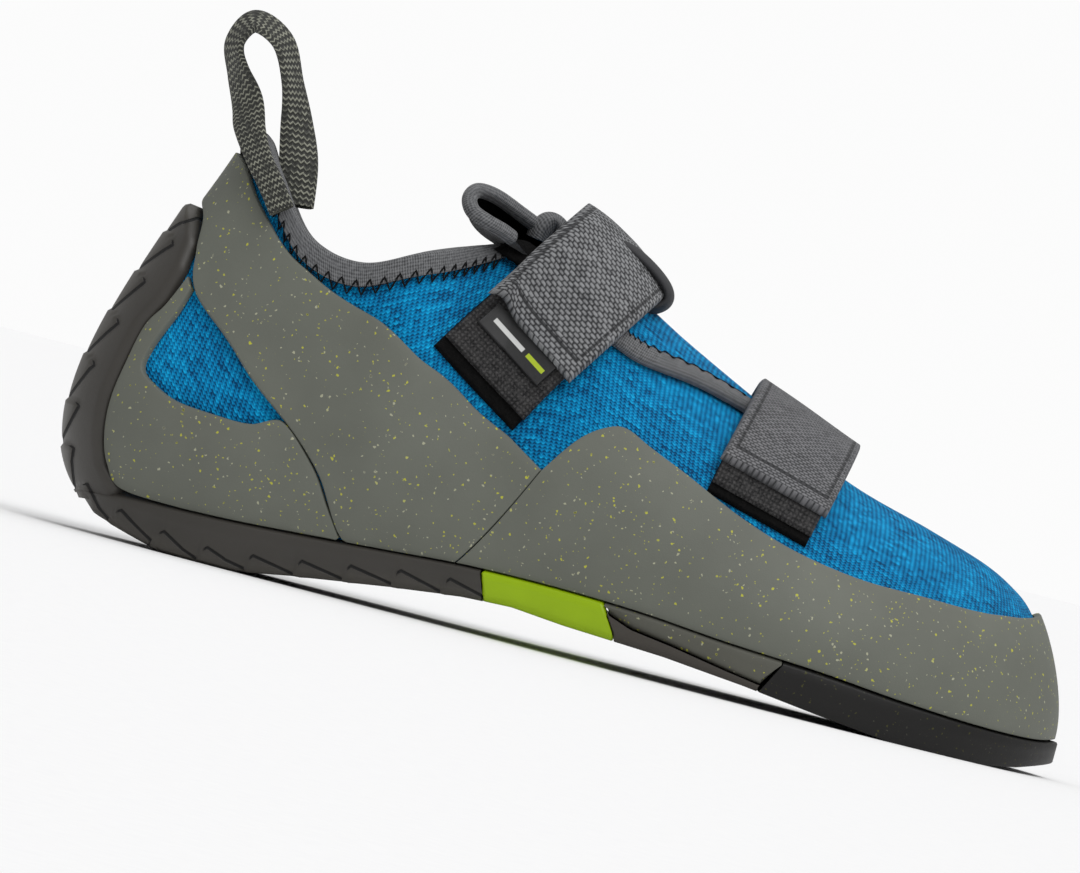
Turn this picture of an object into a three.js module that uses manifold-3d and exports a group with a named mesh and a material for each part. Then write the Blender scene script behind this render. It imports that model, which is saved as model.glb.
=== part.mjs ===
// A climbing shoe for the right foot, built as it is made: a stretch-knit upper lasted over a
// foot-shaped last, rubber rands, a moulded heel rubber, arch insert, forefoot outsole, two
// hook-and-loop straps, a bound collar and a webbing pull loop.
// Millimetres. +X points to the toe, +Y to the inner (medial) side, +Z up. The origin is on the
// floor, at the middle of the flat spot under the heel.
import * as THREE from "three";
import { mergeVertices } from "three/addons/utils/BufferGeometryUtils.js";
import Module from "manifold-3d";

const wasm = await Module();
wasm.setup();

// Rows of numbers under the names of their columns.
function table(names, rows) {
  return rows.map((row) => Object.fromEntries(names.map((name, k) => [name, row[k]])));
}

// Driving sizes of the shoe.
const SHOE_LENGTH = 254; // back of the heel rubber to the tip of the toe
const BALL_WIDTH = 90; // across the rubber at the ball of the foot
const HEEL_HEIGHT = 103; // floor to the peak of the collar at the back
const INSTEP_HEIGHT = 98; // floor to the ridge at the front of the collar
const ARCH_HEIGHT = 16.2; // floor to the feather line at the arch
const TREAD_ARCH = 8.5; // how high the underside lifts at the arch
const HEEL_REST = 42; // the place of the mount on the flat spot, from the back of the heel

// Thicknesses and widths of the layers.
const GAP = 0.3; // between pieces that meet
const KNIT_WALL = 2.4;
const RAND_THICKNESS = 1.7;
const HEEL_RUBBER = 3.9;
const LIP_OUT = 2.9; // how far the sole's edge stands out from the knit
const HEEL_TUCK = 5; // how far the underside draws in from the lip, at the back
const SIDE_TUCK = 2.2; // and along the sides
const RIB_HEIGHT = 0.8;
const BINDING_WIDTH = 4.8;
const BINDING_THICKNESS = 0.9;
const BINDING_END = 0.42; // how far round it runs on each side, of the way to the toe
const INSOLE_THICKNESS = 3;
const FLAP_THICKNESS = 1.4;
const PAD_THICKNESS = 1.3;
const HOOK_THICKNESS = 1.2;
const STRAP_THICKNESS = 1.7;
const STRAP_WIDTH = 29;
const LABEL_THICKNESS = 0.8;
const LOOP_WIDTH = 12.5;
const LOOP_THICKNESS = 1.8;
const TONGUE_THICKNESS = 1.8;

// How the upper's wall is cut into faces: ribs from the heel to the toe, closer where it turns,
// and steps from the feather line to the top.
const RIB_LINES = [
  0, 1, 2, 3, 4, 5, 6, 7, 8, 9, 10, 11, 11.5, 12, 13, 14, 16, 18, 20, 21, 22, 23, 24, 25, 26, 27, 28,
];
const UP = 11;

// Sections of the last from the middle of the heel to the tip of the toe. at, lateral, medial and
// foot place the feather line, topAt to top the collar's rim or, from FRONT_ROW on, the ridge of
// the instep. The last four columns are the bow of the wall: how far it leans out and rises at
// the bottom, and how far it stands out and drops at the top. Lengths along X are shares of
// SHOE_LENGTH, across of BALL_WIDTH, up of the shoe's height there, foot of ARCH_HEIGHT.
const FRONT_ROW = 6;
const SECTIONS = table(
  [
    "at", "lateral", "medial", "foot", "topAt", "topLateral", "topMedial", "top",
    "lowOut", "lowUp", "highOut", "highDown",
  ],
  [
    [0.043, 0.0, 0.0, 0.77, 0.114, 0.0, 0.0, 1.0, 0.195, 0.184, 0.089, 0.272],
    [0.063, 0.15, 0.15, 0.76, 0.124, 0.1, 0.1, 0.981, 0.16, 0.184, 0.078, 0.262],
    [0.114, 0.25, 0.244, 0.74, 0.15, 0.183, 0.183, 0.9, 0.1, 0.184, 0.056, 0.243],
    [0.185, 0.3, 0.289, 0.76, 0.189, 0.25, 0.25, 0.793, 0.078, 0.176, 0.044, 0.215],
    [0.264, 0.328, 0.306, 0.83, 0.244, 0.294, 0.289, 0.773, 0.067, 0.18, 0.044, 0.199],
    [0.339, 0.356, 0.306, 0.91, 0.307, 0.278, 0.278, 0.859, 0.067, 0.193, 0.067, 0.202],
    [0.409, 0.383, 0.306, 0.98, 0.394, -0.011, 0.011, 0.955, 0.067, 0.204, 0.167, 0.031],
    [0.492, 0.428, 0.333, 1.0, 0.465, -0.033, 0.033, 0.929, 0.067, 0.204, 0.244, 0.0],
    [0.579, 0.467, 0.378, 0.96, 0.559, -0.056, 0.056, 0.806, 0.067, 0.184, 0.289, 0.0],
    [0.665, 0.489, 0.428, 0.85, 0.654, -0.078, 0.078, 0.69, 0.061, 0.163, 0.3, 0.0],
    [0.752, 0.472, 0.45, 0.77, 0.744, -0.1, 0.1, 0.586, 0.056, 0.143, 0.3, 0.0],
    [0.831, 0.406, 0.439, 0.65, 0.823, -0.122, 0.122, 0.527, 0.044, 0.122, 0.267, 0.0],
    [0.906, 0.278, 0.394, 0.56, 0.882, -0.139, 0.139, 0.48, 0.028, 0.112, 0.2, 0.01],
    [0.963, 0.089, 0.306, 0.54, 0.915, -0.144, 0.144, 0.441, 0.017, 0.107, 0.133, 0.031],
    [0.988, -0.133, 0.133, 0.59, 0.929, -0.144, 0.144, 0.418, 0.006, 0.102, 0.067, 0.031],
  ],
);

// The underside's profile: shares of SHOE_LENGTH and TREAD_ARCH. It is flat under heel and ball.
const TREAD = [
  { at: 0.0, up: 1.6 },
  { at: 0.031, up: 1.06 },
  { at: 0.055, up: 0.58 },
  { at: 0.094, up: 0.26 },
  { at: 0.128, up: 0.0 },
  { at: 0.195, up: 0.0 },
  { at: 0.26, up: 0.33 },
  { at: 0.354, up: 0.73 },
  { at: 0.413, up: 0.94 },
  { at: 0.461, up: 1.0 },
  { at: 0.512, up: 0.87 },
  { at: 0.61, up: 0.73 },
  { at: 0.689, up: 0.51 },
  { at: 0.768, up: 0.22 },
  { at: 0.807, up: 0.09 },
  { at: 0.835, up: 0.0 },
  { at: 0.929, up: 0.0 },
  { at: 0.961, up: 0.14 },
  { at: 0.984, up: 0.33 },
  { at: 1.0, up: 0.47 },
];

// The slingshot band, from the middle of the heel to the arch: its front and rear edges, seen
// from the side. A share up of 0 is the feather line.
const BAND = [
  { frontAt: 0.103, frontUp: 0.945, rearAt: 0.079, rearUp: 0.816 },
  { frontAt: 0.112, frontUp: 0.923, rearAt: 0.085, rearUp: 0.777 },
  { frontAt: 0.13, frontUp: 0.859, rearAt: 0.087, rearUp: 0.699 },
  { frontAt: 0.155, frontUp: 0.793, rearAt: 0.097, rearUp: 0.605 },
  { frontAt: 0.202, frontUp: 0.721, rearAt: 0.15, rearUp: 0.491 },
  { frontAt: 0.268, frontUp: 0.674, rearAt: 0.205, rearUp: 0.382 },
  { frontAt: 0.331, frontUp: 0.605, rearAt: 0.252, rearUp: 0.279 },
  { frontAt: 0.382, frontUp: 0.536, rearAt: 0.294, rearUp: 0 },
  { frontAt: 0.421, frontUp: 0.486, rearAt: 0.346, rearUp: 0 },
  { frontAt: 0.456, frontUp: 0.43, rearAt: 0.4, rearUp: 0 },
];

// The heel cup's rand, from the tip above the knit window round to the arch: its edge along the
// heel rubber and the sole, and its edge along the window and the band.
const CUP = [
  { outerAt: 0.086, outerUp: 0.64, innerAt: 0.093, innerUp: 0.613 },
  { outerAt: 0.072, outerUp: 0.562, innerAt: 0.085, innerUp: 0.548 },
  { outerAt: 0.058, outerUp: 0.504, innerAt: 0.072, innerUp: 0.472 },
  { outerAt: 0.049, outerUp: 0.405, innerAt: 0.067, innerUp: 0.408 },
  { outerAt: 0.044, outerUp: 0.309, innerAt: 0.083, innerUp: 0.374 },
  { outerAt: 0.048, outerUp: 0.219, innerAt: 0.111, innerUp: 0.349 },
  { outerAt: 0.057, outerUp: 0.164, innerAt: 0.156, innerUp: 0.342 },
  { outerAt: 0.0745, outerUp: 0.118, innerAt: 0.182, innerUp: 0.346 },
  { outerAt: 0.138, outerUp: 0, innerAt: 0.208, innerUp: 0.358 },
  { outerAt: 0.22, outerUp: 0, innerAt: 0.248, innerUp: 0.274 },
  { outerAt: 0.262, outerUp: 0, innerAt: 0.268, innerUp: 0.207 },
  { outerAt: 0.286, outerUp: 0, innerAt: 0.287, innerUp: 0.157 },
];

// The toe rand's upper edge, from the arch over the swoop beside the instep to the toe, and where
// its seam with the band meets the feather line.
const TOE_RAND = [
  { at: 0.459, up: 0.424 },
  { at: 0.48, up: 0.519 },
  { at: 0.502, up: 0.567 },
  { at: 0.523, up: 0.582 },
  { at: 0.551, up: 0.551 },
  { at: 0.591, up: 0.508 },
  { at: 0.65, up: 0.441 },
  { at: 0.709, up: 0.394 },
  { at: 0.772, up: 0.369 },
  { at: 0.835, up: 0.366 },
  { at: 0.89, up: 0.364 },
  { at: 0.925, up: 0.372 },
];
const TOE_RAND_TIP_UP = 0.382;
const TOE_SEAM_FOOT = 0.403;

// The heel rubber's edge up the back of the shoe, seen from the side.
const HEEL_EDGE = [
  { at: 0.072, up: 0.115 },
  { at: 0.0545, up: 0.16 },
  { at: 0.0455, up: 0.219 },
  { at: 0.0415, up: 0.309 },
  { at: 0.0465, up: 0.405 },
  { at: 0.0555, up: 0.504 },
  { at: 0.07, up: 0.57 },
  { at: 0.08, up: 0.65 },
  { at: 0.0825, up: 0.72 },
  { at: 0.079, up: 0.79 },
];
const SCALES = 8;

// Where the sole's pieces meet, as shares of SHOE_LENGTH. The joints lean: how far their lower
// end lies towards the toe.
const HEEL_END = 0.426;
const ARCH_INSERT_END = 0.545;
const WEDGE_END = 0.703;
const OUTSOLE_START = 0.719;
const HEEL_JOINT_LEAN = 1.7;
const ARCH_LEAN = 4;
const OUTSOLE_LEAN = -3.7;

// Cross-sections of the heel rubber, each at the tread's line or raised from it by RIB_HEIGHT,
// which makes its scales. The long run between two at the line is the flat spot.
const HEEL_MARKS = table(
  ["at", "raised"],
  [
    [0.043, 1],
    [0.049, 0],
    [0.056, 1],
    [0.094, 0],
    [0.098, 1],
    [0.127, 1],
    [0.131, 0],
    [0.189, 0],
    [0.193, 1],
    [0.228, 0],
    [0.232, 1],
    [0.266, 0],
    [0.27, 1],
    [0.304, 0],
    [0.308, 1],
    [0.342, 0],
    [0.346, 1],
    [0.426, 0],
  ],
);
const OUTSOLE_MARKS = [
  0.719, 0.74, 0.765, 0.79, 0.812, 0.835, 0.858, 0.882, 0.906, 0.929, 0.945, 0.958, 0.969, 0.978,
  0.984, 0.988,
];

// The under-face of the speckled layer at the arch, in shares of ARCH_HEIGHT.
const LAYER_UNDER = [
  { at: 0.547, up: 0.815 },
  { at: 0.574, up: 0.667 },
  { at: 0.615, up: 0.58 },
  { at: 0.668, up: 0.438 },
  { at: 0.702, up: 0.358 },
];

// The tongue's hood, which arches over the front of the collar from the medial side: its foot,
// its crown and its free lip. Across in shares of BALL_WIDTH, up of INSTEP_HEIGHT.
const TONGUE = [
  { at: 0.323, foot: 0.24, footUp: 0.93, crown: 0.12, crownUp: 1.035, lip: 0.033, lipUp: 1.056 },
  { at: 0.335, foot: 0.225, footUp: 0.935, crown: 0.067, crownUp: 1.061, lip: -0.067, lipUp: 1.026 },
  { at: 0.354, foot: 0.18, footUp: 0.955, crown: 0.044, crownUp: 1.061, lip: -0.117, lipUp: 0.99 },
  { at: 0.382, foot: 0.15, footUp: 0.915, crown: 0.033, crownUp: 1.035, lip: -0.13, lipUp: 0.965 },
  { at: 0.409, foot: 0.13, footUp: 0.9, crown: 0.022, crownUp: 0.99, lip: -0.11, lipUp: 0.94 },
];

// The instep flap: its bound edge seen from the side, and its edge on the medial side.
const FLAP = [
  { at: 0.42, up: 0.885, medialUp: 0.74 },
  { at: 0.44, up: 0.85, medialUp: 0.7 },
  { at: 0.472, up: 0.805, medialUp: 0.66 },
  { at: 0.5, up: 0.775, medialUp: 0.64 },
  { at: 0.526, up: 0.754, medialUp: 0.62 },
  { at: 0.581, up: 0.735, medialUp: 0.6 },
  { at: 0.636, up: 0.698, medialUp: 0.6 },
];

// The two straps: the middle of the tip seen from the side, how far it leans back in degrees,
// how far loop pad and hook tape show past the tip and reach under it, how far past it the strap
// comes down on the medial side, and how far it stands off the ridge. Millimetres for the last.
const STRAPS = [
  {
    name: "upper",
    at: 0.415,
    up: 0.739,
    lean: 33.6,
    padDown: 18.4,
    hookDown: 14.7,
    tuckedUp: 8,
    medialDown: 14,
    liftRear: 10,
    liftFront: 3,
  },
  {
    name: "lower",
    at: 0.672,
    up: 0.537,
    lean: 14.7,
    padDown: 8.8,
    hookDown: 6.1,
    tuckedUp: 6,
    medialDown: 12,
    liftRear: 2,
    liftFront: 4,
  },
];

// The pull loop's middle line and how far the webbing turns from lying across the shoe.
const PULL_LOOP = [
  { at: 0.158, across: -0.262, up: 0.84, turn: 92, width: 0.5 },
  { at: 0.142, across: -0.232, up: 0.892, turn: 90, width: 0.5 },
  { at: 0.124, across: -0.19, up: 0.945, turn: 86, width: 0.52 },
  { at: 0.11, across: -0.135, up: 1.0, turn: 75, width: 0.62 },
  { at: 0.098, across: -0.06, up: 1.065, turn: 50, width: 0.85 },
  { at: 0.081, across: -0.01, up: 1.135, turn: 24, width: 1 },
  { at: 0.072, across: 0.0, up: 1.2, turn: 22, width: 1 },
  { at: 0.086, across: 0.0, up: 1.258, turn: 26, width: 1 },
  { at: 0.116, across: 0.0, up: 1.228, turn: 24, width: 1 },
  { at: 0.135, across: -0.005, up: 1.14, turn: 22, width: 1 },
  { at: 0.149, across: -0.02, up: 1.05, turn: 40, width: 0.95 },
  { at: 0.16, across: -0.06, up: 0.96, turn: 62, width: 0.85 },
  { at: 0.167, across: -0.11, up: 0.86, turn: 80, width: 0.75 },
];

const MATERIALS = {
  knit: { color: 0x0f7fc4, roughness: 0.8 },
  rand: { color: 0x62655e, roughness: 0.62 },
  heelRubber: { color: 0x3a3836, roughness: 0.55 },
  outsole: { color: 0x1b1a18, roughness: 0.5 },
  lime: { color: 0x8fb800, roughness: 0.45 },
  binding: { color: 0x55585a, roughness: 0.85 },
  strap: { color: 0x5d5f61, roughness: 0.85 },
  hook: { color: 0x2c2a2b, roughness: 0.9 },
  pad: { color: 0x0d0c0c, roughness: 0.97 },
  label: { color: 0x121212, roughness: 0.6 },
  webbing: { color: 0x33352f, roughness: 0.8 },
  insole: { color: 0x26282a, roughness: 0.9 },
};

const mix = THREE.MathUtils.lerp;
const ease = (low, high, x) => THREE.MathUtils.smoothstep(x, low, high);

// The shoe's height at a share of its length, which the shares up are measured by.
function heightAt(at) {
  return mix(HEEL_HEIGHT, INSTEP_HEIGHT, ease(0.12, 0.38, at));
}

function catmull(a, b, c, d, t) {
  const m = (c - a) / 2;
  const n = (d - b) / 2;
  return b + t * (m + t * (3 * (c - b) - 2 * m - n + t * (2 * (b - c) + m + n)));
}

// A smooth value between the rows of a table, t running from 0 at the first to 1 at the last.
function along(rows, t) {
  const last = rows.length - 1;
  const i = Math.min(Math.floor(t * last), last - 1);
  const row = (k) => rows[Math.min(Math.max(k, 0), last)];
  return Object.fromEntries(
    Object.keys(rows[0]).map((key) => [
      key,
      catmull(row(i - 1)[key], row(i)[key], row(i + 1)[key], row(i + 2)[key], t * last - i),
    ]),
  );
}

// The four control points of each section's wall, in order round the whole shoe.
function controlRibs() {
  const last = SECTIONS.length - 1;
  const order = [
    ...SECTIONS.map((row) => ({ row, side: "lateral", sign: -1 })),
    ...SECTIONS.slice(1, last).reverse().map((row) => ({ row, side: "medial", sign: 1 })),
  ];
  const feet = order.map(
    ({ row, side, sign }) =>
      new THREE.Vector3(row.at * SHOE_LENGTH, sign * row[side] * BALL_WIDTH, row.foot * ARCH_HEIGHT),
  );
  return order.map(({ row, side, sign }, k) => {
    const across = side === "lateral" ? row.topLateral : row.topMedial;
    const before = feet.at(k - 1);
    const after = feet[(k + 1) % feet.length];
    const outward = new THREE.Vector3(after.y - before.y, before.x - after.x, 0).normalize();
    const top = new THREE.Vector3(
      row.topAt * SHOE_LENGTH,
      sign * across * BALL_WIDTH,
      row.top * heightAt(row.topAt),
    );
    const low = feet[k].clone().addScaledVector(outward, row.lowOut * BALL_WIDTH);
    low.z += row.lowUp * heightAt(row.at);
    const high = top.clone().addScaledVector(outward, row.highOut * BALL_WIDTH);
    high.z -= row.highDown * heightAt(row.topAt);
    return [feet[k], low, high, top];
  });
}
const RIBS = controlRibs();
const HALF = SECTIONS.length - 1;
const FRONT = FRONT_ROW / HALF;

// Where a place w round the shoe lies from heel (0) to toe (1), whichever side it is on.
const toToe = (w) => 1 - Math.abs(1 - (((w % 2) + 2) % 2));
const atRidge = (w) => toToe(w) > FRONT - 1e-6;

function controlPoint(w, index) {
  const s = (((w % 2) + 2) % 2) * HALF;
  const i = Math.floor(s);
  const p = [-1, 0, 1, 2].map((k) => RIBS[(i + k + RIBS.length) % RIBS.length][index]);
  const axis = (key) => catmull(p[0][key], p[1][key], p[2][key], p[3][key], s - i);
  return new THREE.Vector3(axis("x"), axis("y"), axis("z"));
}

// A point of the knit's outer face: w runs round the shoe from the heel (0) by the lateral side
// to the toe (1) and back by the medial side (2); h runs from the feather line (0) to the top (1).
function knit(w, h) {
  let top = controlPoint(w, 3);
  if (atRidge(w)) top = top.add(controlPoint(2 - w, 3)).multiplyScalar(0.5);
  const [a, b, c] = [0, 1, 2].map((index) => controlPoint(w, index));
  const g = 1 - h;
  return a
    .multiplyScalar(g * g * g)
    .addScaledVector(b, 3 * g * g * h)
    .addScaledVector(c, 3 * g * h * h)
    .addScaledVector(top, h * h * h);
}

function knitNormal(w, h) {
  const step = 0.002;
  const at = Math.min(Math.max(h, 0.01), 0.99);
  const round = knit(w + step, at).sub(knit(w - step, at));
  const up = knit(w, at + step).sub(knit(w, at - step));
  return round.cross(up).normalize();
}

// A point that stands out from the knit's face by a distance. At the ridge both sides agree.
function wall(w, h, out) {
  if (h >= 1 && atRidge(w)) {
    const side = toToe(w);
    const normal = knitNormal(side, 1).add(knitNormal(2 - side, 1)).normalize();
    return knit(side, 1).addScaledVector(normal, out);
  }
  return knit(w, h).addScaledVector(knitNormal(w, h), out);
}

function bisect(low, high, above) {
  for (let i = 0; i < 40; i++) {
    const middle = (low + high) / 2;
    if (above(middle)) high = middle;
    else low = middle;
  }
  return (low + high) / 2;
}

const footAt = (at) => bisect(0, 1, (w) => knit(w, 0).x > at * SHOE_LENGTH);

// The place { w, h } on the lateral side that is seen at x and z on a face that stands out.
function placeNear(x, z, out) {
  const miss = (w, h) => {
    const p = wall(w, h, out);
    return Math.hypot(p.x - x, p.z - z);
  };
  let best = { w: 0, h: 0, far: Infinity };
  const attempt = (w, h) => {
    if (w < 0 || w > 1 || h < 0 || h > 0.999) return;
    const far = miss(w, h);
    if (far < best.far) best = { w, h, far };
  };
  for (let i = 0; i <= 28; i++) for (let j = 0; j <= 12; j++) attempt(i / 28, j / 12.1);
  for (let step = 0.03; step > 1e-5; step /= 2) {
    for (let far = Infinity; best.far < far; ) {
      far = best.far;
      const { w, h } = best;
      for (const [a, b] of COMPASS) attempt(w + a * step, h + b * step);
    }
  }
  return { w: best.w, h: best.h };
}
const COMPASS = [-1, 0, 1].flatMap((a) => [-1, 0, 1].map((b) => [a, b]));

const place = (at, up, out) => placeNear(at * SHOE_LENGTH, up * heightAt(at), out);


// Collects faces and makes one closed geometry of them, facing outwards. Coinciding corners
// become one vertex, and faces that shrink to a line go.
class Skin {
  constructor() {
    this.points = [];
  }
  quad(a, b, c, d) {
    this.points.push(a, b, c, a, c, d);
  }
  geometry() {
    const merged = mergeVertices(new THREE.BufferGeometry().setFromPoints(this.points), 1e-3);
    const index = merged.index.array;
    const position = merged.getAttribute("position");
    const corner = (k) => new THREE.Vector3().fromBufferAttribute(position, k);
    const faces = [];
    let volume = 0;
    for (let i = 0; i < index.length; i += 3) {
      const [a, b, c] = index.slice(i, i + 3);
      if (a === b || b === c || c === a) continue;
      faces.push([a, b, c]);
      volume += corner(a).dot(corner(b).cross(corner(c)));
    }
    merged.setIndex(faces.flatMap(([a, b, c]) => (volume > 0 ? [a, b, c] : [a, c, b])));
    return merged;
  }
}

// A sheet of m by n cells between an outer and an inner face, each given as a point for (i, j).
// round joins the last column to the first. closedTop says where the top edge meets itself.
function sheet(m, n, outer, inner, { round = false, closedTop = () => false } = {}) {
  const grid = (point) =>
    Array.from({ length: m + 1 }, (_, i) =>
      Array.from({ length: n + 1 }, (_, j) => point(round ? i % m : i, j)),
    );
  const o = grid(outer);
  const f = grid(inner);
  const skin = new Skin();
  for (let i = 0; i < m; i++) {
    for (let j = 0; j < n; j++) {
      skin.quad(o[i][j], o[i + 1][j], o[i + 1][j + 1], o[i][j + 1]);
      skin.quad(f[i][j], f[i][j + 1], f[i + 1][j + 1], f[i + 1][j]);
    }
    skin.quad(o[i][0], f[i][0], f[i + 1][0], o[i + 1][0]);
    if (!closedTop(i)) skin.quad(o[i + 1][n], f[i + 1][n], f[i][n], o[i][n]);
  }
  if (!round)
    for (let j = 0; j < n; j++) {
      skin.quad(f[0][j], o[0][j], o[0][j + 1], f[0][j + 1]);
      skin.quad(o[m][j], f[m][j], f[m][j + 1], o[m][j + 1]);
    }
  return skin.geometry();
}

// A body through rings of equal length. A ring lists one face in order and then the opposite
// face backwards, so rungs between its halves close the ends. A ring may shrink to a line.
function loft(rings, { openStart = false, openEnd = false } = {}) {
  const skin = new Skin();
  const count = rings[0].length;
  for (let i = 0; i + 1 < rings.length; i++)
    for (let k = 0; k < count; k++) {
      const next = (k + 1) % count;
      skin.quad(rings[i][k], rings[i][next], rings[i + 1][next], rings[i + 1][k]);
    }
  for (let k = 0; k + 1 < count / 2; k++) {
    const rung = (ring) => [ring[k], ring[count - 1 - k], ring[count - 2 - k], ring[k + 1]];
    if (!openStart) skin.quad(...rung(rings[0]));
    if (!openEnd) skin.quad(...rung(rings.at(-1)).reverse());
  }
  return skin.geometry();
}

// A skin on the wall's ribs, between two distances out from the knit's face, which may vary from
// place to place. All overlays are cut from such skins, so they fit the upper facet by facet.
const SIDE = RIB_LINES.map((line) => line / RIB_LINES.at(-1));
const AROUND = [...SIDE, ...SIDE.slice(1, -1).reverse().map((w) => 2 - w)];

function skin(low, high, start = 0) {
  const rib = (i) => AROUND[i % AROUND.length];
  const face = (out) => (i, j) => {
    const [w, h] = [rib(i), j === 0 ? start : j / UP];
    return wall(w, h, typeof out === "number" ? out : out(w, h));
  };
  const closedTop = (i) => atRidge(rib(i)) && atRidge(rib(i + 1));
  return sheet(AROUND.length, UP, face(high), face(low), { round: true, closedTop });
}
const shell = (low, high, start) => solid(skin(low, high, start));

const steps = (count, make) => Array.from({ length: count + 1 }, (_, i) => make(i / count, i));

function solid(geometry) {
  return new wasm.Manifold(
    new wasm.Mesh({
      numProp: 3,
      vertProperties: geometry.getAttribute("position").array,
      triVerts: Uint32Array.from(geometry.index.array),
    }),
  );
}

function geometryOf(manifold) {
  const mesh = manifold.getMesh();
  return new THREE.BufferGeometry()
    .setAttribute("position", new THREE.BufferAttribute(mesh.vertProperties, 3))
    .setIndex([...mesh.triVerts]);
}

const BOTH = { from: -SHOE_LENGTH, to: SHOE_LENGTH };
const LATERAL = { from: -SHOE_LENGTH, to: 0 };
const MEDIAL = { from: 0, to: SHOE_LENGTH };

// An outline seen from the side, as points { x, y } of length and height, carried across a
// range of the shoe's width.
function prism(outline, { from, to }) {
  const block = new THREE.ExtrudeGeometry(new THREE.Shape(outline), {
    depth: to - from,
    bevelEnabled: false,
  });
  block.rotateX(Math.PI / 2).translate(0, to, 0);
  block.deleteAttribute("normal").deleteAttribute("uv");
  return solid(mergeVertices(block, 1e-3));
}

const seen = (at, up) => new THREE.Vector2(at * SHOE_LENGTH, up * heightAt(at));

// A smooth line through places seen from the side; those at the feather line lie under it.
const smooth = (points, count) => new THREE.SplineCurve(points).getPoints(count);
const BELOW = -10;
const below = (at) => new THREE.Vector2(at * SHOE_LENGTH, BELOW);

// The band that pulls the heel forward: over the heel's tab and down both sides to the arch.
function slingshotBand() {
  const front = smooth(BAND.map((row) => seen(row.frontAt, row.frontUp)), 18);
  const free = BAND.filter((row) => row.rearUp > 0);
  const rear = smooth(free.map((row) => seen(row.rearAt, row.rearUp)), 12);
  const back = [front[0], rear[0]].map(({ x, y }) => new THREE.Vector2(x - 20, y));
  const end = BAND.at(-1);
  const heel = BAND.findLast((row) => row.rearUp > 0);
  const slope = (end.frontAt - end.rearAt) * SHOE_LENGTH;
  const outline = [
    ...front,
    new THREE.Vector2(end.rearAt * SHOE_LENGTH - slope * 0.4, BELOW),
    below(heel.rearAt + 0.117),
    ...rear.reverse(),
    back[1],
    back[0],
  ];
  return geometryOf(shell(GAP, GAP + RAND_THICKNESS).intersect(prism(outline, BOTH)));
}

function heelCup(range) {
  const inner = smooth(CUP.map((row) => seen(row.innerAt, row.innerUp)), 18);
  const free = CUP.filter((row) => row.outerUp > 0);
  const outer = smooth(free.map((row) => seen(row.outerAt, row.outerUp)), 12);
  const outline = [...inner, below(CUP.at(-1).innerAt + 0.03), below(0.0745), ...outer.reverse()];
  return geometryOf(shell(GAP, GAP + RAND_THICKNESS).intersect(prism(outline, range)));
}

function toeRand() {
  const edge = smooth(TOE_RAND.map((row) => seen(row.at, row.up)), 16);
  const slope = (TOE_RAND[0].at - TOE_SEAM_FOOT) * SHOE_LENGTH;
  const tip = new THREE.Vector2(SHOE_LENGTH + 10, TOE_RAND_TIP_UP * heightAt(1));
  const outline = [
    ...edge,
    tip,
    new THREE.Vector2(SHOE_LENGTH + 10, BELOW),
    new THREE.Vector2(TOE_SEAM_FOOT * SHOE_LENGTH - slope * 0.4, BELOW),
  ];
  return geometryOf(shell(GAP, GAP + RAND_THICKNESS).intersect(prism(outline, BOTH)));
}

// A height from a table of { at, up } rows, straight between them.
function profile(rows, unit, x) {
  const at = THREE.MathUtils.clamp(x / SHOE_LENGTH, rows[0].at, rows.at(-1).at);
  const i = Math.max(1, rows.findIndex((row) => row.at >= at));
  const [a, b] = [rows[i - 1], rows[i]];
  return unit * THREE.MathUtils.mapLinear(at, a.at, b.at, a.up, b.up);
}
const treadAt = (x) => profile(TREAD, TREAD_ARCH, x);
const layerUnder = (x) => profile(LAYER_UNDER, ARCH_HEIGHT, x);

// How far the sole's edge stands out beyond the knit, and how far its underside draws in.
const RAND_FACE = GAP + RAND_THICKNESS;
const heelOut = (w) => mix(GAP + HEEL_RUBBER, RAND_FACE + 0.5, ease(0.02, 0.12, toToe(w)));
const lipOut = (w) => mix(GAP + HEEL_RUBBER, LIP_OUT, ease(0, 0.16, toToe(w)));
const tuck = (w) =>
  mix(HEEL_TUCK, SIDE_TUCK, ease(0, 0.2, toToe(w))) * mix(1, 0.5, ease(0.5, 0.75, toToe(w)));

// A point of the sole's upper face, out from the knit and a gap below the feather line.
function feather(w, out) {
  const down = knit(w, 0).sub(knit(w, 0.01)).normalize();
  return wall(w, 0, out).addScaledVector(down, GAP);
}

// A point of the sole's underside, drawn in from its lip.
function under(w, inward, height) {
  const normal = knitNormal(w, 0).setZ(0).normalize();
  const point = feather(w, lipOut(w)).addScaledVector(normal, -inward);
  return point.setZ(height(point.x));
}

// One cross-section of the sole at a share of the length. ceiling, if given, is the height of
// the upper face, which otherwise follows the feather line; floor is that of the lower face.
// lean moves the lower face along X, so that a joint slopes.
function soleRing(at, { ceiling, floor = treadAt, lean = 0 } = {}) {
  const w = footAt(at);
  const v = footAt(at + lean / SHOE_LENGTH);
  const upperEdges = [w, 2 - w].map((s) => [feather(s, lipOut(s)), feather(s, -KNIT_WALL)]);
  const rounding = (x) => floor(x) + 0.4 * tuck(v);
  const lowerEdges = [v, 2 - v].map((s) => [
    under(s, 0.4 * tuck(s), rounding),
    under(s, tuck(s) + 1.5, floor),
  ]);
  const row = ([[a, b], [d, c]]) => {
    const inner = [1 / 3, 2 / 3].map((t) => b.clone().lerp(c, t));
    return [a, b, ...inner, c, d];
  };
  const upperRow = row(upperEdges);
  const lowerRow = row(lowerEdges);
  if (ceiling) for (const point of upperRow) point.setZ(Math.min(point.z, ceiling(point.x)));
  for (const point of lowerRow.slice(2, 4)) point.setZ(floor(point.x));
  return [...upperRow, ...lowerRow.reverse()];
}

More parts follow.
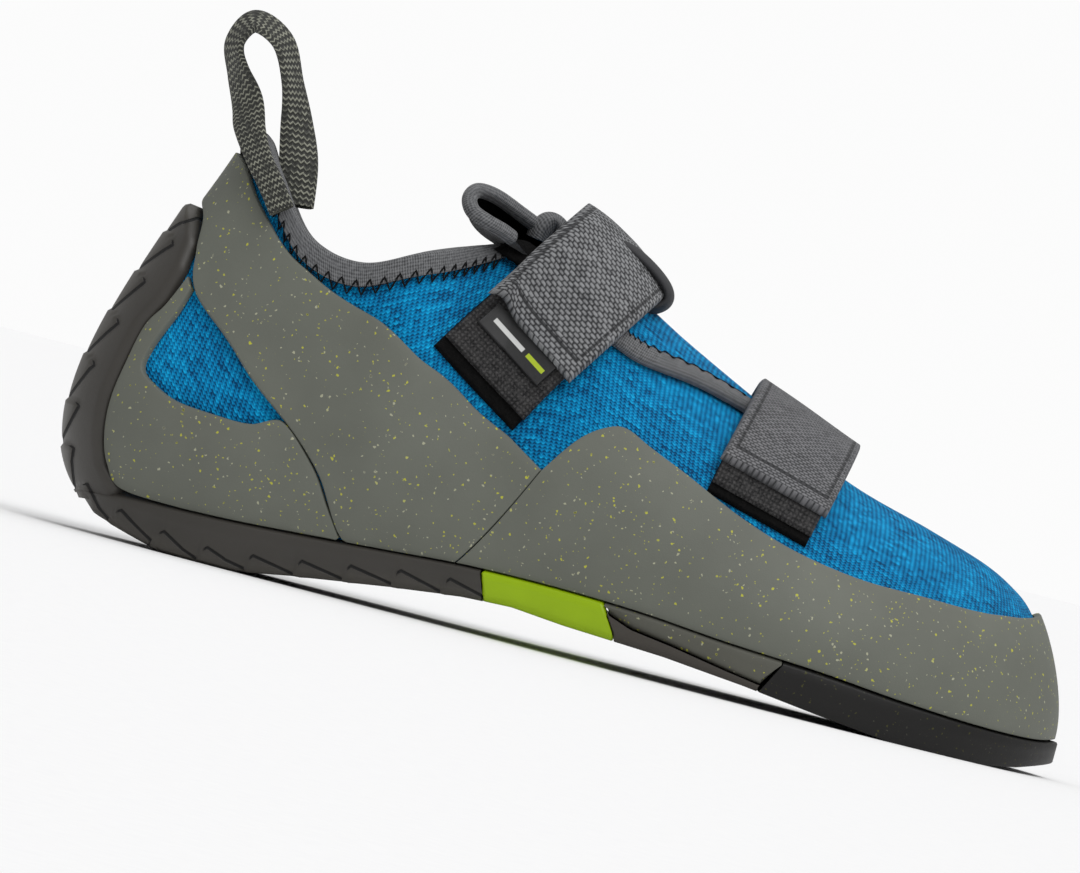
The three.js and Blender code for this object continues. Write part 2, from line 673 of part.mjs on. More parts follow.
// Rings from one share of the length to another, the lean of their joints blended between.
function slab(from, to, count, leanFrom, leanTo, faces = {}) {
  return loft(
    steps(count, (t) => soleRing(mix(from, to, t), { ...faces, lean: mix(leanFrom, leanTo, t) })),
  );
}

// The rubber over the back of the heel, with saw-toothed scales that run across it.
function heelBack() {
  const edge = smooth(HEEL_EDGE.map((row) => seen(row.at, row.up)), 14);
  const [low, high] = [edge[0], edge.at(-1)];
  const outline = [
    new THREE.Vector2(low.x, BELOW),
    ...edge,
    new THREE.Vector2(high.x - 20, high.y),
    new THREE.Vector2(low.x - 30, BELOW),
  ];
  const rubber = shell(GAP, (w) => heelOut(w), -0.02).intersect(prism(outline, BOTH));
  const scales = steps(SCALES - 1, (t) => {
    const h = mix(0.03, 0.64, t);
    const point = (out) => (i, j) =>
      wall(mix(-0.05, 0.05, i / 8), h + j * 0.07, heelOut(0.05) + out(i, j));
    const raised = (i, j) => (j === 1 && i > 0 && i < 8 ? RIB_HEIGHT : -0.2);
    return solid(sheet(8, 1, point(raised), point(() => -1.2)));
  });
  return scales.reduce((whole, scale) => whole.add(scale), rubber);
}

// The heel rubber: the back and the slab under the heel are one moulding, scaled on both but for
// the flat spot that the shoe stands on.
function heelUnit() {
  const last = HEEL_MARKS.length - 1;
  const rings = HEEL_MARKS.map(({ at, raised }, k) =>
    soleRing(at, {
      floor: (x) => treadAt(x) + raised * RIB_HEIGHT,
      lean: k === last ? HEEL_JOINT_LEAN : 0,
    }),
  );
  return geometryOf(solid(loft(rings, { openStart: true })).add(heelBack()));
}

function outsole() {
  const rings = OUTSOLE_MARKS.map((at, k) => soleRing(at, { lean: k === 0 ? OUTSOLE_LEAN : 0 }));
  return loft(rings, { openEnd: true });
}

// The board the foot stands on, inside the wall and above the sole.
function insole() {
  const inset = -KNIT_WALL - 3 * GAP;
  const rings = steps(24, (t) => {
    const w = footAt(mix(SECTIONS[0].at, SECTIONS.at(-1).at, t));
    const row = (rise) => {
      const [a, b] = [wall(w, 0, inset), wall(2 - w, 0, inset)];
      return [0, 1 / 3, 2 / 3, 1].map((s) => a.clone().lerp(b, s).add(new THREE.Vector3(0, 0, rise)));
    };
    return [...row(GAP + INSOLE_THICKNESS), ...row(GAP).reverse()];
  });
  return loft(rings, { openStart: true, openEnd: true });
}

// The share h that lies a distance below the rim of the collar.
const belowRim = (w, distance) => 1 - (0.02 * distance) / knit(w, 1).distanceTo(knit(w, 0.98));

// The bound edge of the collar: a band folded over the rim, from the front of one side round
// the heel to the other.
function collarBinding() {
  const inner = 2.2 * GAP;
  const outer = inner + BINDING_THICKNESS;
  const side = SIDE.filter((w) => w > 0 && w <= BINDING_END);
  const rings = [...side.map((w) => -w).reverse(), 0, ...side].map((w) => {
    const point = (down, out) => wall(w, belowRim(w, down), out);
    return [
      point(BINDING_WIDTH, outer),
      point(-outer, outer),
      point(-outer, -KNIT_WALL - outer),
      point(BINDING_WIDTH, -KNIT_WALL - outer),
      point(BINDING_WIDTH, -KNIT_WALL - inner),
      point(-inner, -KNIT_WALL - inner),
      point(-inner, inner),
      point(BINDING_WIDTH, inner),
    ];
  });
  return loft(rings);
}

// A point across the tongue's hood, from its foot (0) over the crown to its lip (1). out moves
// it off the cloth's middle.
function hood(row, t, out) {
  const spot = (s) => {
    const g = 1 - s;
    const arch = (a, b, c) => g * g * a + 2 * g * s * (2 * b - (a + c) / 2) + s * s * c;
    return new THREE.Vector3(
      row.at * SHOE_LENGTH,
      arch(row.foot, row.crown, row.lip) * BALL_WIDTH,
      arch(row.footUp, row.crownUp, row.lipUp) * INSTEP_HEIGHT,
    );
  };
  const run = spot(t + 0.01).sub(spot(t - 0.01));
  const normal = new THREE.Vector3(0, run.z, -run.y).normalize();
  return spot(t).addScaledVector(normal, out);
}

const HOOD_CELLS = 8;

function tongue() {
  const half = TONGUE_THICKNESS / 2;
  const point = (out) => (i, j) => hood(along(TONGUE, i / HOOD_CELLS), j / 10, out);
  return sheet(HOOD_CELLS, 10, point(half), point(-half));
}

// The bound lip of the hood: a band folded over its edge.
function tongueBinding() {
  const inner = TONGUE_THICKNESS / 2 + GAP + 0.1;
  const outer = inner + BINDING_THICKNESS;
  const rings = steps(HOOD_CELLS, (t) => {
    const row = along(TONGUE, t);
    const length = hood(row, 1, 0).distanceTo(hood(row, 0.98, 0)) / 0.02;
    const point = (past, out) => hood(row, 1 + past / length, out);
    return [
      point(1 - BINDING_WIDTH, outer),
      point(GAP + BINDING_THICKNESS, outer),
      point(GAP + BINDING_THICKNESS, -outer),
      point(1 - BINDING_WIDTH, -outer),
      point(1 - BINDING_WIDTH, -inner),
      point(GAP, -inner),
      point(GAP, inner),
      point(1 - BINDING_WIDTH, inner),
    ];
  });
  return loft(rings);
}

// The flap of knit that crosses the instep: its bound edge on the lateral side, and where it
// runs out on the medial side.
function instepFlap() {
  const edge = smooth(FLAP.map((row) => seen(row.at, row.up)), 10);
  const far = smooth(FLAP.map((row) => seen(row.at, row.medialUp)), 10);
  const high = 2 * HEEL_HEIGHT;
  const closed = (line) => [
    ...line,
    new THREE.Vector2(line.at(-1).x, high),
    new THREE.Vector2(line[0].x, high),
  ];
  const cut = prism(closed(edge), LATERAL).add(prism(closed(far), MEDIAL));
  return geometryOf(shell(GAP, GAP + FLAP_THICKNESS).intersect(cut));
}

// The band sewn over the flap's edge, on the lateral side only.
function flapBinding() {
  const inner = 2 * GAP + FLAP_THICKNESS;
  const outer = inner + BINDING_THICKNESS - 0.1;
  const edge = FLAP.map((row) => place(row.at, row.up, GAP + FLAP_THICKNESS));
  const rings = steps(20, (t) => {
    const { w, h } = along(edge, 0.02 + 0.96 * t);
    const rise = knit(w, h).distanceTo(knit(w, h + 0.02)) / 0.02;
    const point = (up, out) => wall(w, h + up / rise, out);
    const low = -2 * GAP - BINDING_THICKNESS;
    return [
      point(BINDING_WIDTH - 1, outer),
      point(low, outer),
      point(low, 2 * GAP),
      point(-2 * GAP, 2 * GAP),
      point(-2 * GAP, inner),
      point(BINDING_WIDTH - 1, inner),
    ];
  });
  return loft(rings);
}

// A closure's strap: seen from the side it is a strip that leans back by an angle, with its
// tip's middle at (at, up). across and down are distances along and past the tip.
class Closure {
  constructor(row) {
    this.row = row;
    const angle = THREE.MathUtils.degToRad(row.lean);
    this.along = new THREE.Vector2(Math.cos(angle), -Math.sin(angle));
    this.down = new THREE.Vector2(-Math.sin(angle), -Math.cos(angle));
    this.tip = seen(row.at, row.up);
  }
  spot(across, down) {
    return this.tip.clone().addScaledVector(this.along, across).addScaledVector(this.down, down);
  }
  // A rectangle on the strip, between two distances across and two past the tip.
  strip([left, right], [from, to]) {
    return [this.spot(left, from), this.spot(right, from), this.spot(right, to), this.spot(left, to)];
  }
  patch(across, reach, low, thick) {
    return geometryOf(shell(low, low + thick).intersect(prism(this.strip(across, reach), LATERAL)));
  }
  // How far the strap stands off the shoe: most at the ridge, and little on the medial side,
  // where it is sewn down.
  lift(w, h) {
    const p = knit(w, h);
    const across = new THREE.Vector2(p.x, p.z).sub(this.tip).dot(this.along) / STRAP_WIDTH + 0.5;
    const crest = mix(this.row.liftRear, this.row.liftFront, THREE.MathUtils.clamp(across, 0, 1));
    const sewn = w > 1 ? 1.1 * (1 - ease(0.5, 0.9, h)) : 0;
    return crest * ease(0.5, 1, h) - sewn;
  }
  strap(low, thick) {
    const half = STRAP_WIDTH / 2;
    const skin = shell((w, h) => low + this.lift(w, h), (w, h) => low + thick + this.lift(w, h));
    const lateral = prism(this.strip([-half, half], [0, -2 * HEEL_HEIGHT]), LATERAL);
    const medial = prism(this.strip([-half, half], [this.row.medialDown, -2 * HEEL_HEIGHT]), MEDIAL);
    return geometryOf(skin.intersect(lateral.add(medial)));
  }
}

// The pull loop: one length of webbing from the outside of the collar's rim, up and over, to
// the inside.
function pullLoop() {
  const count = 30;
  const spot = (t) => {
    const row = along(PULL_LOOP, THREE.MathUtils.clamp(t, 0, 1));
    return new THREE.Vector3(row.at * SHOE_LENGTH, row.across * BALL_WIDTH, row.up * HEEL_HEIGHT);
  };
  const rings = steps(count, (t) => {
    const row = along(PULL_LOOP, t);
    const run = spot(t + 0.01).sub(spot(t - 0.01)).normalize();
    const level = new THREE.Vector3(0, 1, 0).addScaledVector(run, -run.y).normalize();
    const turn = THREE.MathUtils.degToRad(row.turn);
    const outward = run.clone().cross(level);
    const wide = level.multiplyScalar(Math.cos(turn)).addScaledVector(outward, Math.sin(turn));
    const face = run.clone().cross(wide);
    const corner = (a, b) =>
      spot(t)
        .addScaledVector(wide, (a * row.width * LOOP_WIDTH) / 2)
        .addScaledVector(face, (b * LOOP_THICKNESS) / 2);
    return [corner(-1, 1), corner(1, 1), corner(1, -1), corner(-1, -1)];
  });
  return loft(rings);
}

const shoe = new THREE.Group();
shoe.position.x = -HEEL_REST;

function add(name, geometry, finish) {
  geometry.computeVertexNormals();
  const mesh = new THREE.Mesh(geometry, new THREE.MeshStandardMaterial(MATERIALS[finish]));
  mesh.name = name;
  shoe.add(mesh);
}

const joint = GAP / SHOE_LENGTH;
// The knit sock is one wall round the foot, open at the collar and underneath.
add("upper", skin(-KNIT_WALL, 0), "knit");
add("insole", insole(), "insole");
add("heel_unit", heelUnit(), "heelRubber");
add("arch_insert", slab(HEEL_END + joint, ARCH_INSERT_END, 5, HEEL_JOINT_LEAN, ARCH_LEAN), "lime");
add(
  "arch_layer",
  slab(ARCH_INSERT_END + joint, OUTSOLE_START - joint, 6, 1.5, OUTSOLE_LEAN, { floor: layerUnder }),
  "rand",
);
add(
  "arch_wedge",
  slab(ARCH_INSERT_END + 6 * joint, WEDGE_END, 6, ARCH_LEAN - 0.9, -0.3, {
    ceiling: (x) => layerUnder(x) - GAP,
  }),
  "heelRubber",
);
add("outsole", outsole(), "outsole");
add("toe_rand", toeRand(), "rand");
add("heel_rand_lateral", heelCup(LATERAL), "rand");
add("heel_rand_medial", heelCup(MEDIAL), "rand");
add("slingshot_band", slingshotBand(), "rand");
add("collar_binding", collarBinding(), "binding");
add("tongue", tongue(), "binding");
add("tongue_binding", tongueBinding(), "binding");
add("instep_flap", instepFlap(), "knit");
add("flap_binding", flapBinding(), "binding");

const HOOK_BASE = 2 * GAP + PAD_THICKNESS;
const STRAP_BASE = HOOK_BASE + HOOK_THICKNESS + GAP;
const closures = STRAPS.map((row) => new Closure(row));
for (const closure of closures) {
  const { name, padDown, hookDown, tuckedUp } = closure.row;
  const across = [1 - STRAP_WIDTH / 2, STRAP_WIDTH / 2 - 1];
  add(`loop_pad_${name}`, closure.patch(across, [padDown, -tuckedUp], GAP, PAD_THICKNESS), "pad");
  add(
    `hook_tape_${name}`,
    closure.patch(across, [hookDown, -tuckedUp], HOOK_BASE, HOOK_THICKNESS),
    "hook",
  );
  add(`strap_${name}`, closure.strap(STRAP_BASE, STRAP_THICKNESS), "strap");
}
add("label", closures[0].patch([-11, 9.8], [7.1, GAP], STRAP_BASE, LABEL_THICKNESS), "label");
add("pull_loop", pullLoop(), "webbing");

export default shoe;
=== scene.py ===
"""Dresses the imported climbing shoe: a stretch-knit upper in rubber rands, closed by two straps.

Every curved piece is laid on one surface, the last, which the shoe's solids are cut from too.
Lengths are in millimetres, measured from the back of the heel, until a mesh is made.
"""

from __future__ import annotations

import logging
import math
from dataclasses import dataclass
from enum import Enum
from typing import Any, Callable, Sequence

import bpy
import numpy as np
from mathutils import Matrix, Vector

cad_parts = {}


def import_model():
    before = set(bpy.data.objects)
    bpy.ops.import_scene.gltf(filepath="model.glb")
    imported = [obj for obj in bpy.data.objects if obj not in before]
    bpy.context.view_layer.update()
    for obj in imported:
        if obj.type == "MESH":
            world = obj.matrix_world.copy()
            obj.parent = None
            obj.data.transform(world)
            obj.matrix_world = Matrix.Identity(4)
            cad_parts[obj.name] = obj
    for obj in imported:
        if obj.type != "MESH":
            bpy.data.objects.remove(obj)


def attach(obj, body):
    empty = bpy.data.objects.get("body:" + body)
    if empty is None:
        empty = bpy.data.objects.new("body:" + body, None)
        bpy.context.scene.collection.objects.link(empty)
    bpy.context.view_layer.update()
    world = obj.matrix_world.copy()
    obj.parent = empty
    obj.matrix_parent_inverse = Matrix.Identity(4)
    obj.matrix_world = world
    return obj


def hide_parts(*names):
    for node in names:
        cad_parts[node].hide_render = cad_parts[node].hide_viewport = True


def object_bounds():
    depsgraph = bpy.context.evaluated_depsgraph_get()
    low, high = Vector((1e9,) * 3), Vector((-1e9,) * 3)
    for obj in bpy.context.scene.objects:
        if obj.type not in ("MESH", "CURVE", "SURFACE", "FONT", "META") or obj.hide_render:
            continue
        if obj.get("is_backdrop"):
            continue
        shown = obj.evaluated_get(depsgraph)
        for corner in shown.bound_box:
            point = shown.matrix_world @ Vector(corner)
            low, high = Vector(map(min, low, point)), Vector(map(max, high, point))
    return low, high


LOG = logging.getLogger("shoe")

# Driving sizes.
LENGTH = 254.0
BALL = 90.0
HEEL_HEIGHT = 103.0
INSTEP_HEIGHT = 98.0
ARCH_HEIGHT = 16.2
TREAD_ARCH = 8.5
HEEL_REST = 42.0
GAP = 0.3
KNIT_WALL = 2.4
RAND = 1.7
HEEL_RUBBER = 3.9
LIP_OUT = 2.9

# Sections of the last: at, lateral, medial, foot, top_at, top_lateral, top_medial, top, and the
# bow of the wall: low_out, low_up, high_out, high_down.
FRONT_ROW = 6
SECTIONS = np.array([
    [0.043, 0.0, 0.0, 0.77, 0.114, 0.0, 0.0, 1.0, 0.195, 0.184, 0.089, 0.272],
    [0.063, 0.15, 0.15, 0.76, 0.124, 0.1, 0.1, 0.981, 0.16, 0.184, 0.078, 0.262],
    [0.114, 0.25, 0.244, 0.74, 0.15, 0.183, 0.183, 0.9, 0.1, 0.184, 0.056, 0.243],
    [0.185, 0.3, 0.289, 0.76, 0.189, 0.25, 0.25, 0.793, 0.078, 0.176, 0.044, 0.215],
    [0.264, 0.328, 0.306, 0.83, 0.244, 0.294, 0.289, 0.773, 0.067, 0.18, 0.044, 0.199],
    [0.339, 0.356, 0.306, 0.91, 0.307, 0.278, 0.278, 0.859, 0.067, 0.193, 0.067, 0.202],
    [0.409, 0.383, 0.306, 0.98, 0.394, -0.011, 0.011, 0.955, 0.067, 0.204, 0.167, 0.031],
    [0.492, 0.428, 0.333, 1.0, 0.465, -0.033, 0.033, 0.929, 0.067, 0.204, 0.244, 0.0],
    [0.579, 0.467, 0.378, 0.96, 0.559, -0.056, 0.056, 0.806, 0.067, 0.184, 0.289, 0.0],
    [0.665, 0.489, 0.428, 0.85, 0.654, -0.078, 0.078, 0.69, 0.061, 0.163, 0.3, 0.0],
    [0.752, 0.472, 0.45, 0.77, 0.744, -0.1, 0.1, 0.586, 0.056, 0.143, 0.3, 0.0],
    [0.831, 0.406, 0.439, 0.65, 0.823, -0.122, 0.122, 0.527, 0.044, 0.122, 0.267, 0.0],
    [0.906, 0.278, 0.394, 0.56, 0.882, -0.139, 0.139, 0.48, 0.028, 0.112, 0.2, 0.01],
    [0.963, 0.089, 0.306, 0.54, 0.915, -0.144, 0.144, 0.441, 0.017, 0.107, 0.133, 0.031],
    [0.988, -0.133, 0.133, 0.59, 0.929, -0.144, 0.144, 0.418, 0.006, 0.102, 0.067, 0.031],
])
HALF = len(SECTIONS) - 1
FRONT = FRONT_ROW / HALF


def smoothstep(low: float, high: float, x: Any) -> Any:
    """A smooth 0 to 1 between two values."""
    t = np.clip((np.asarray(x, float) - low) / (high - low), 0, 1)
    return t * t * (3 - 2 * t)


def mix(a: Any, b: Any, t: Any) -> Any:
    """The value a share t of the way from a to b."""
    return a + (b - a) * t


def height_at(at: Any) -> Any:
    """The shoe's height at a share of its length, which the shares up are measured by."""
    return mix(HEEL_HEIGHT, INSTEP_HEIGHT, smoothstep(0.12, 0.38, at))


def catmull(a: Any, b: Any, c: Any, d: Any, t: Any) -> Any:
    """A smooth value between b and c."""
    m = (c - a) / 2
    n = (d - b) / 2
    return b + t * (m + t * (3 * (c - b) - 2 * m - n + t * (2 * (b - c) + m + n)))


def along(rows: np.ndarray, t: Any) -> np.ndarray:
    """Smooth rows between the rows of a table.

    Args:
        rows: the table, one row for each place.
        t: shares from the first row (0) to the last (1).

    Returns:
        One row for each share.
    """
    rows = np.asarray(rows, float)
    last = len(rows) - 1
    s = np.clip(np.asarray(t, float), 0, 1) * last
    i = np.minimum(np.floor(s).astype(int), last - 1)
    pick = [rows[np.clip(i + k, 0, last)] for k in (-1, 0, 1, 2)]
    f = (s - i)[..., None]
    return catmull(*pick, f)


def unit(v: np.ndarray) -> np.ndarray:
    """Vectors of length one."""
    return v / np.maximum(np.linalg.norm(v, axis=-1, keepdims=True), 1e-12)


def to_toe(w: Any) -> Any:
    """Where a place round the shoe lies from heel (0) to toe (1), whichever side it is on."""
    return 1 - np.abs(1 - np.mod(w, 2))


class Last:
    """The outer face of the knit. w runs round the shoe, h from the feather line to the top."""

    def __init__(self) -> None:
        """Works out the four control points of every rib."""
        order = [(k, -1) for k in range(HALF + 1)] + [(k, 1) for k in range(HALF - 1, 0, -1)]
        rows = np.array([SECTIONS[k] for k, _ in order])
        sign = np.array([s for _, s in order], float)
        side = np.where(sign < 0, rows[:, 1], rows[:, 2])
        across = np.where(sign < 0, rows[:, 5], rows[:, 6])
        foot = np.stack([rows[:, 0] * LENGTH, sign * side * BALL, rows[:, 3] * ARCH_HEIGHT], 1)
        before, after = np.roll(foot, 1, 0), np.roll(foot, -1, 0)
        flat = np.stack([after[:, 1] - before[:, 1], before[:, 0] - after[:, 0], 0 * side], 1)
        out = unit(flat)
        tall = height_at(rows[:, 4])
        top = np.stack([rows[:, 4] * LENGTH, sign * across * BALL, rows[:, 7] * tall], 1)
        low = foot + out * rows[:, 8:9] * BALL
        low[:, 2] += rows[:, 9] * height_at(rows[:, 0])
        high = top + out * rows[:, 10:11] * BALL
        high[:, 2] -= rows[:, 11] * tall
        self.ribs = np.stack([foot, low, high, top], 1)

    def control(self, w: np.ndarray) -> np.ndarray:
        """The four control points of the wall at each w."""
        s = np.mod(w, 2) * HALF
        i = np.floor(s).astype(int)
        pick = [self.ribs[(i + k) % len(self.ribs)] for k in (-1, 0, 1, 2)]
        return catmull(*pick, (s - i)[..., None, None])

    def knit(self, w: Any, h: Any) -> np.ndarray:
        """Points of the knit's outer face."""
        w, h = np.broadcast_arrays(np.asarray(w, float), np.asarray(h, float))
        c = self.control(w)
        ridge = (to_toe(w) > FRONT - 1e-6)[..., None]
        top = np.where(ridge, (c[..., 3, :] + self.control(2 - w)[..., 3, :]) / 2, c[..., 3, :])
        h, g = h[..., None], (1 - h)[..., None]
        low, high = 3 * g * g * h * c[..., 1, :], 3 * g * h * h * c[..., 2, :]
        return g ** 3 * c[..., 0, :] + low + high + h ** 3 * top

    def normal(self, w: Any, h: Any) -> np.ndarray:
        """Directions that point out of the knit."""
        step = 0.002
        at = np.clip(h, 0.01, 0.99)
        run = self.knit(w + step, at) - self.knit(w - step, at)
        return unit(np.cross(run, self.knit(w, at + step) - self.knit(w, at - step)))

    def wall(self, w: Any, h: Any, out: Any) -> np.ndarray:
        """Points that stand out from the knit's face by a distance."""
        w, h, out = np.broadcast_arrays(*[np.asarray(v, float) for v in (w, h, out)])
        normal = self.normal(w, h)
        ridge = ((to_toe(w) > FRONT - 1e-6) & (h >= 1))[..., None]
        both = unit(normal + self.normal(2 - w, h))
        return self.knit(w, h) + np.where(ridge, both, normal) * out[..., None]

    def bisect(self, above: Callable[[np.ndarray], np.ndarray], like: Any, a: float = 0,
               b: float = 1) -> np.ndarray:
        """Where a test that holds only above some place starts to hold."""
        low, high = np.full(np.shape(like), float(a)), np.full(np.shape(like), float(b))
        for _ in range(36):
            middle = (low + high) / 2
            over = above(middle)
            high, low = np.where(over, middle, high), np.where(over, low, middle)
        return (low + high) / 2

    def foot(self, at: Any) -> np.ndarray:
        """The w on the lateral side of shares of the length."""
        at = np.asarray(at, float)
        return self.bisect(lambda w: self.knit(w, 0)[..., 0] > at * LENGTH, at)

    def rise(self, w: Any, z: Any) -> np.ndarray:
        """The h at which the knit reaches a height."""
        w, z = np.broadcast_arrays(np.asarray(w, float), np.asarray(z, float))
        return self.bisect(lambda h: self.knit(w, h)[..., 2] > z, w)

    def place(self, x: Any, z: Any, out: float, medial: bool = False) -> np.ndarray:
        """Places (w, h) that are seen from the side at x and z on a face that stands out.

        Args:
            x: distances from the heel's back.
            z: heights.
            out: how far the face stands out from the knit.
            medial: whether they lie on the inner side.

        Returns:
            Pairs (w, h).
        """
        x, z = np.atleast_1d(np.asarray(x, float)), np.atleast_1d(np.asarray(z, float))

        def miss(w: np.ndarray, h: np.ndarray) -> np.ndarray:
            p = self.wall(2 - w if medial else w, h, out)
            return np.hypot(p[..., 0] - x, p[..., 2] - z)

        ws, hs = [v.ravel() for v in np.meshgrid(np.linspace(0, 1, 41), np.linspace(0, 0.99, 21))]
        grid = self.wall(2 - ws if medial else ws, hs, out)
        far = np.hypot(grid[:, 0] - x[:, None], grid[:, 2] - z[:, None])
        pick = far.argmin(1)
        w, h, best = ws[pick].copy(), hs[pick].copy(), far.min(1)
        step = 0.02
        while step > 2e-5:
            for _ in range(2):
                for a, b in ((1, 0), (-1, 0), (0, 1), (0, -1), (1, 1), (-1, -1), (1, -1), (-1, 1)):
                    u, v = np.clip(w + a * step, 0, 1), np.clip(h + b * step, 0, 0.999)
                    new = miss(u, v)
                    better = new < best
                    w, h, best = (np.where(better, p, q) for p, q in ((u, w), (v, h), (new, best)))
            step /= 1.7
        return np.stack([2 - w if medial else w, h], 1)

    def down_length(self, w: Any, h: Any) -> np.ndarray:
        """How far a place lies from the top of its rib, along the knit."""
        w, h = np.broadcast_arrays(np.asarray(w, float), np.asarray(h, float))
        s = np.linspace(0, 1, 11)
        hs = h[..., None] + (1 - h[..., None]) * s
        p = self.knit(np.broadcast_to(w[..., None], hs.shape), hs)
        return np.linalg.norm(np.diff(p, axis=-2), axis=-1).sum(-1)

    def rate(self, w: Any, h: Any) -> np.ndarray:
        """How many millimetres of knit there are for each unit of h, just above a place."""
        step = 0.02
        return np.linalg.norm(self.knit(w, h) - self.knit(w, h + step), axis=-1) / step

    def cloth(self, w: Any, h: Any) -> np.ndarray:
        """Lengths along and down the knit, for its weave."""
        w = np.asarray(w, float)
        table = np.linspace(0, 1, 200)
        p = self.knit(table, 0.5)
        arc = np.concatenate([[0], np.linalg.norm(np.diff(p, axis=0), axis=1).cumsum()])
        u = np.interp(to_toe(w), table, arc)
        return np.stack(np.broadcast_arrays(u, self.down_length(w, h)), -1)


LAST = Last()


def world(points: np.ndarray) -> np.ndarray:
    """Millimetres from the heel's back to metres from the heel's flat spot."""
    return (np.asarray(points, float) - (HEEL_REST, 0, 0)) / 1000


# Meshes. Points closer than the first of these, in metres, are merged, and an edge shorter than
# the second is dissolved.
SAME_PLACE = 2e-6
NO_LENGTH = 1e-7


def loft(name: str, rings: np.ndarray, uv: np.ndarray | None = None, around: bool = False,
         caps: bool = False, drop: np.ndarray | None = None, slots: np.ndarray | None = None,
         angle: float = 50) -> bpy.types.Object:
    """A closed body through rings of points, each joined to its own start.

    Args:
        name: the piece's name.
        rings: points, rings first.
        uv: lengths across the piece for its pattern, one pair for each point.
        around: whether the last ring joins the first.
        caps: whether the two end rings are closed.
        drop: which cells are left out, by ring and by place in the ring.
        slots: which material slot each place in the ring takes.
        angle: edges flatter than this look smooth.

    Returns:
        The new object, at the origin.
    """
    rings = np.asarray(rings, float)
    if uv is None:
        run = np.linalg.norm(np.diff(rings, axis=0), axis=-1).mean(1)
        turn = np.linalg.norm(np.diff(rings, axis=1), axis=-1).mean(0)
        u = np.concatenate([[0], run.cumsum()])
        v = np.concatenate([[0], turn.cumsum()])
        uv = np.stack(np.meshgrid(u, v, indexing="ij"), -1)
    grid = np.concatenate([rings, rings[:, :1]], 1)
    uv = np.concatenate([uv, uv[:, :1]], 1)
    if around:
        grid = np.concatenate([grid, grid[:1]], 0)
        uv = np.concatenate([uv, uv[:1]], 0)
    m, n = grid.shape[0] - 1, grid.shape[1] - 1
    bpy.ops.object.select_all(action="DESELECT")
    bpy.ops.mesh.primitive_grid_add(x_subdivisions=m, y_subdivisions=n, size=1)
    piece = bpy.context.object
    piece.name = piece.data.name = name
    mesh = piece.data
    mesh.vertices.foreach_set("co", world(grid).transpose(1, 0, 2).astype(np.float32).ravel())
    corner = np.zeros(len(mesh.loops), np.int64)
    mesh.loops.foreach_get("vertex_index", corner)
    flat = (uv / 1000).transpose(1, 0, 2).reshape(-1, 2)
    mesh.uv_layers[0].data.foreach_set("uv", flat[corner].astype(np.float32).ravel())
    if slots is not None:
        mesh.polygons.foreach_set("material_index", np.repeat(slots, m).astype(np.int32))
    bpy.ops.object.mode_set(mode="EDIT")
    bpy.ops.mesh.select_mode(type="FACE")
    if drop is not None:
        bpy.ops.object.mode_set(mode="OBJECT")
        for parts in (mesh.vertices, mesh.edges):
            parts.foreach_set("select", np.zeros(len(parts), bool))
        mesh.polygons.foreach_set("select", drop.T.ravel())
        bpy.ops.object.mode_set(mode="EDIT")
        bpy.ops.mesh.delete(type="FACE")
    bpy.ops.mesh.select_all(action="SELECT")
    bpy.ops.mesh.remove_doubles(threshold=SAME_PLACE)
    bpy.ops.mesh.dissolve_degenerate(threshold=NO_LENGTH)
    if caps:
        bpy.ops.mesh.select_all(action="SELECT")
        bpy.ops.mesh.fill_holes(sides=0)
    bpy.ops.mesh.select_all(action="SELECT")
    bpy.ops.mesh.normals_make_consistent(inside=False)
    bpy.ops.object.mode_set(mode="OBJECT")
    bpy.ops.object.shade_smooth_by_angle(angle=math.radians(angle))
    return piece


def there_and_back(face: np.ndarray, back: np.ndarray | None = None) -> np.ndarray:
    """Rows that run along one face and back along another, or along the same one."""
    back = face if back is None else back
    return np.concatenate([face, back[:, ::-1]], 1)


def choose(*pieces: bpy.types.Object) -> None:
    """Selects pieces alone and makes the last one active."""
    bpy.ops.object.select_all(action="DESELECT")
    for piece in pieces:
        piece.select_set(True)
    bpy.context.view_layer.objects.active = pieces[-1]


def rim(length: float | np.ndarray, count: int, radius: float) -> np.ndarray:
    """Shares of a length, close together within a radius of both ends."""
    near = radius * np.array([0, 0.06, 0.22, 0.5, 0.78])
    length = np.asarray(length, float)[..., None]
    start = near / length
    middle = mix(radius / length, 1 - radius / length, np.linspace(0, 1, count))
    return np.concatenate([start, middle, 1 - start[..., ::-1]], -1)


def rounded(distance: np.ndarray, radius: float) -> np.ndarray:
    """The height, from 0 to 1, of a quarter round edge."""
    d = np.clip(distance / radius, 0, 1)
    return np.sqrt(np.clip(1 - (1 - d) ** 2, 0, 1))


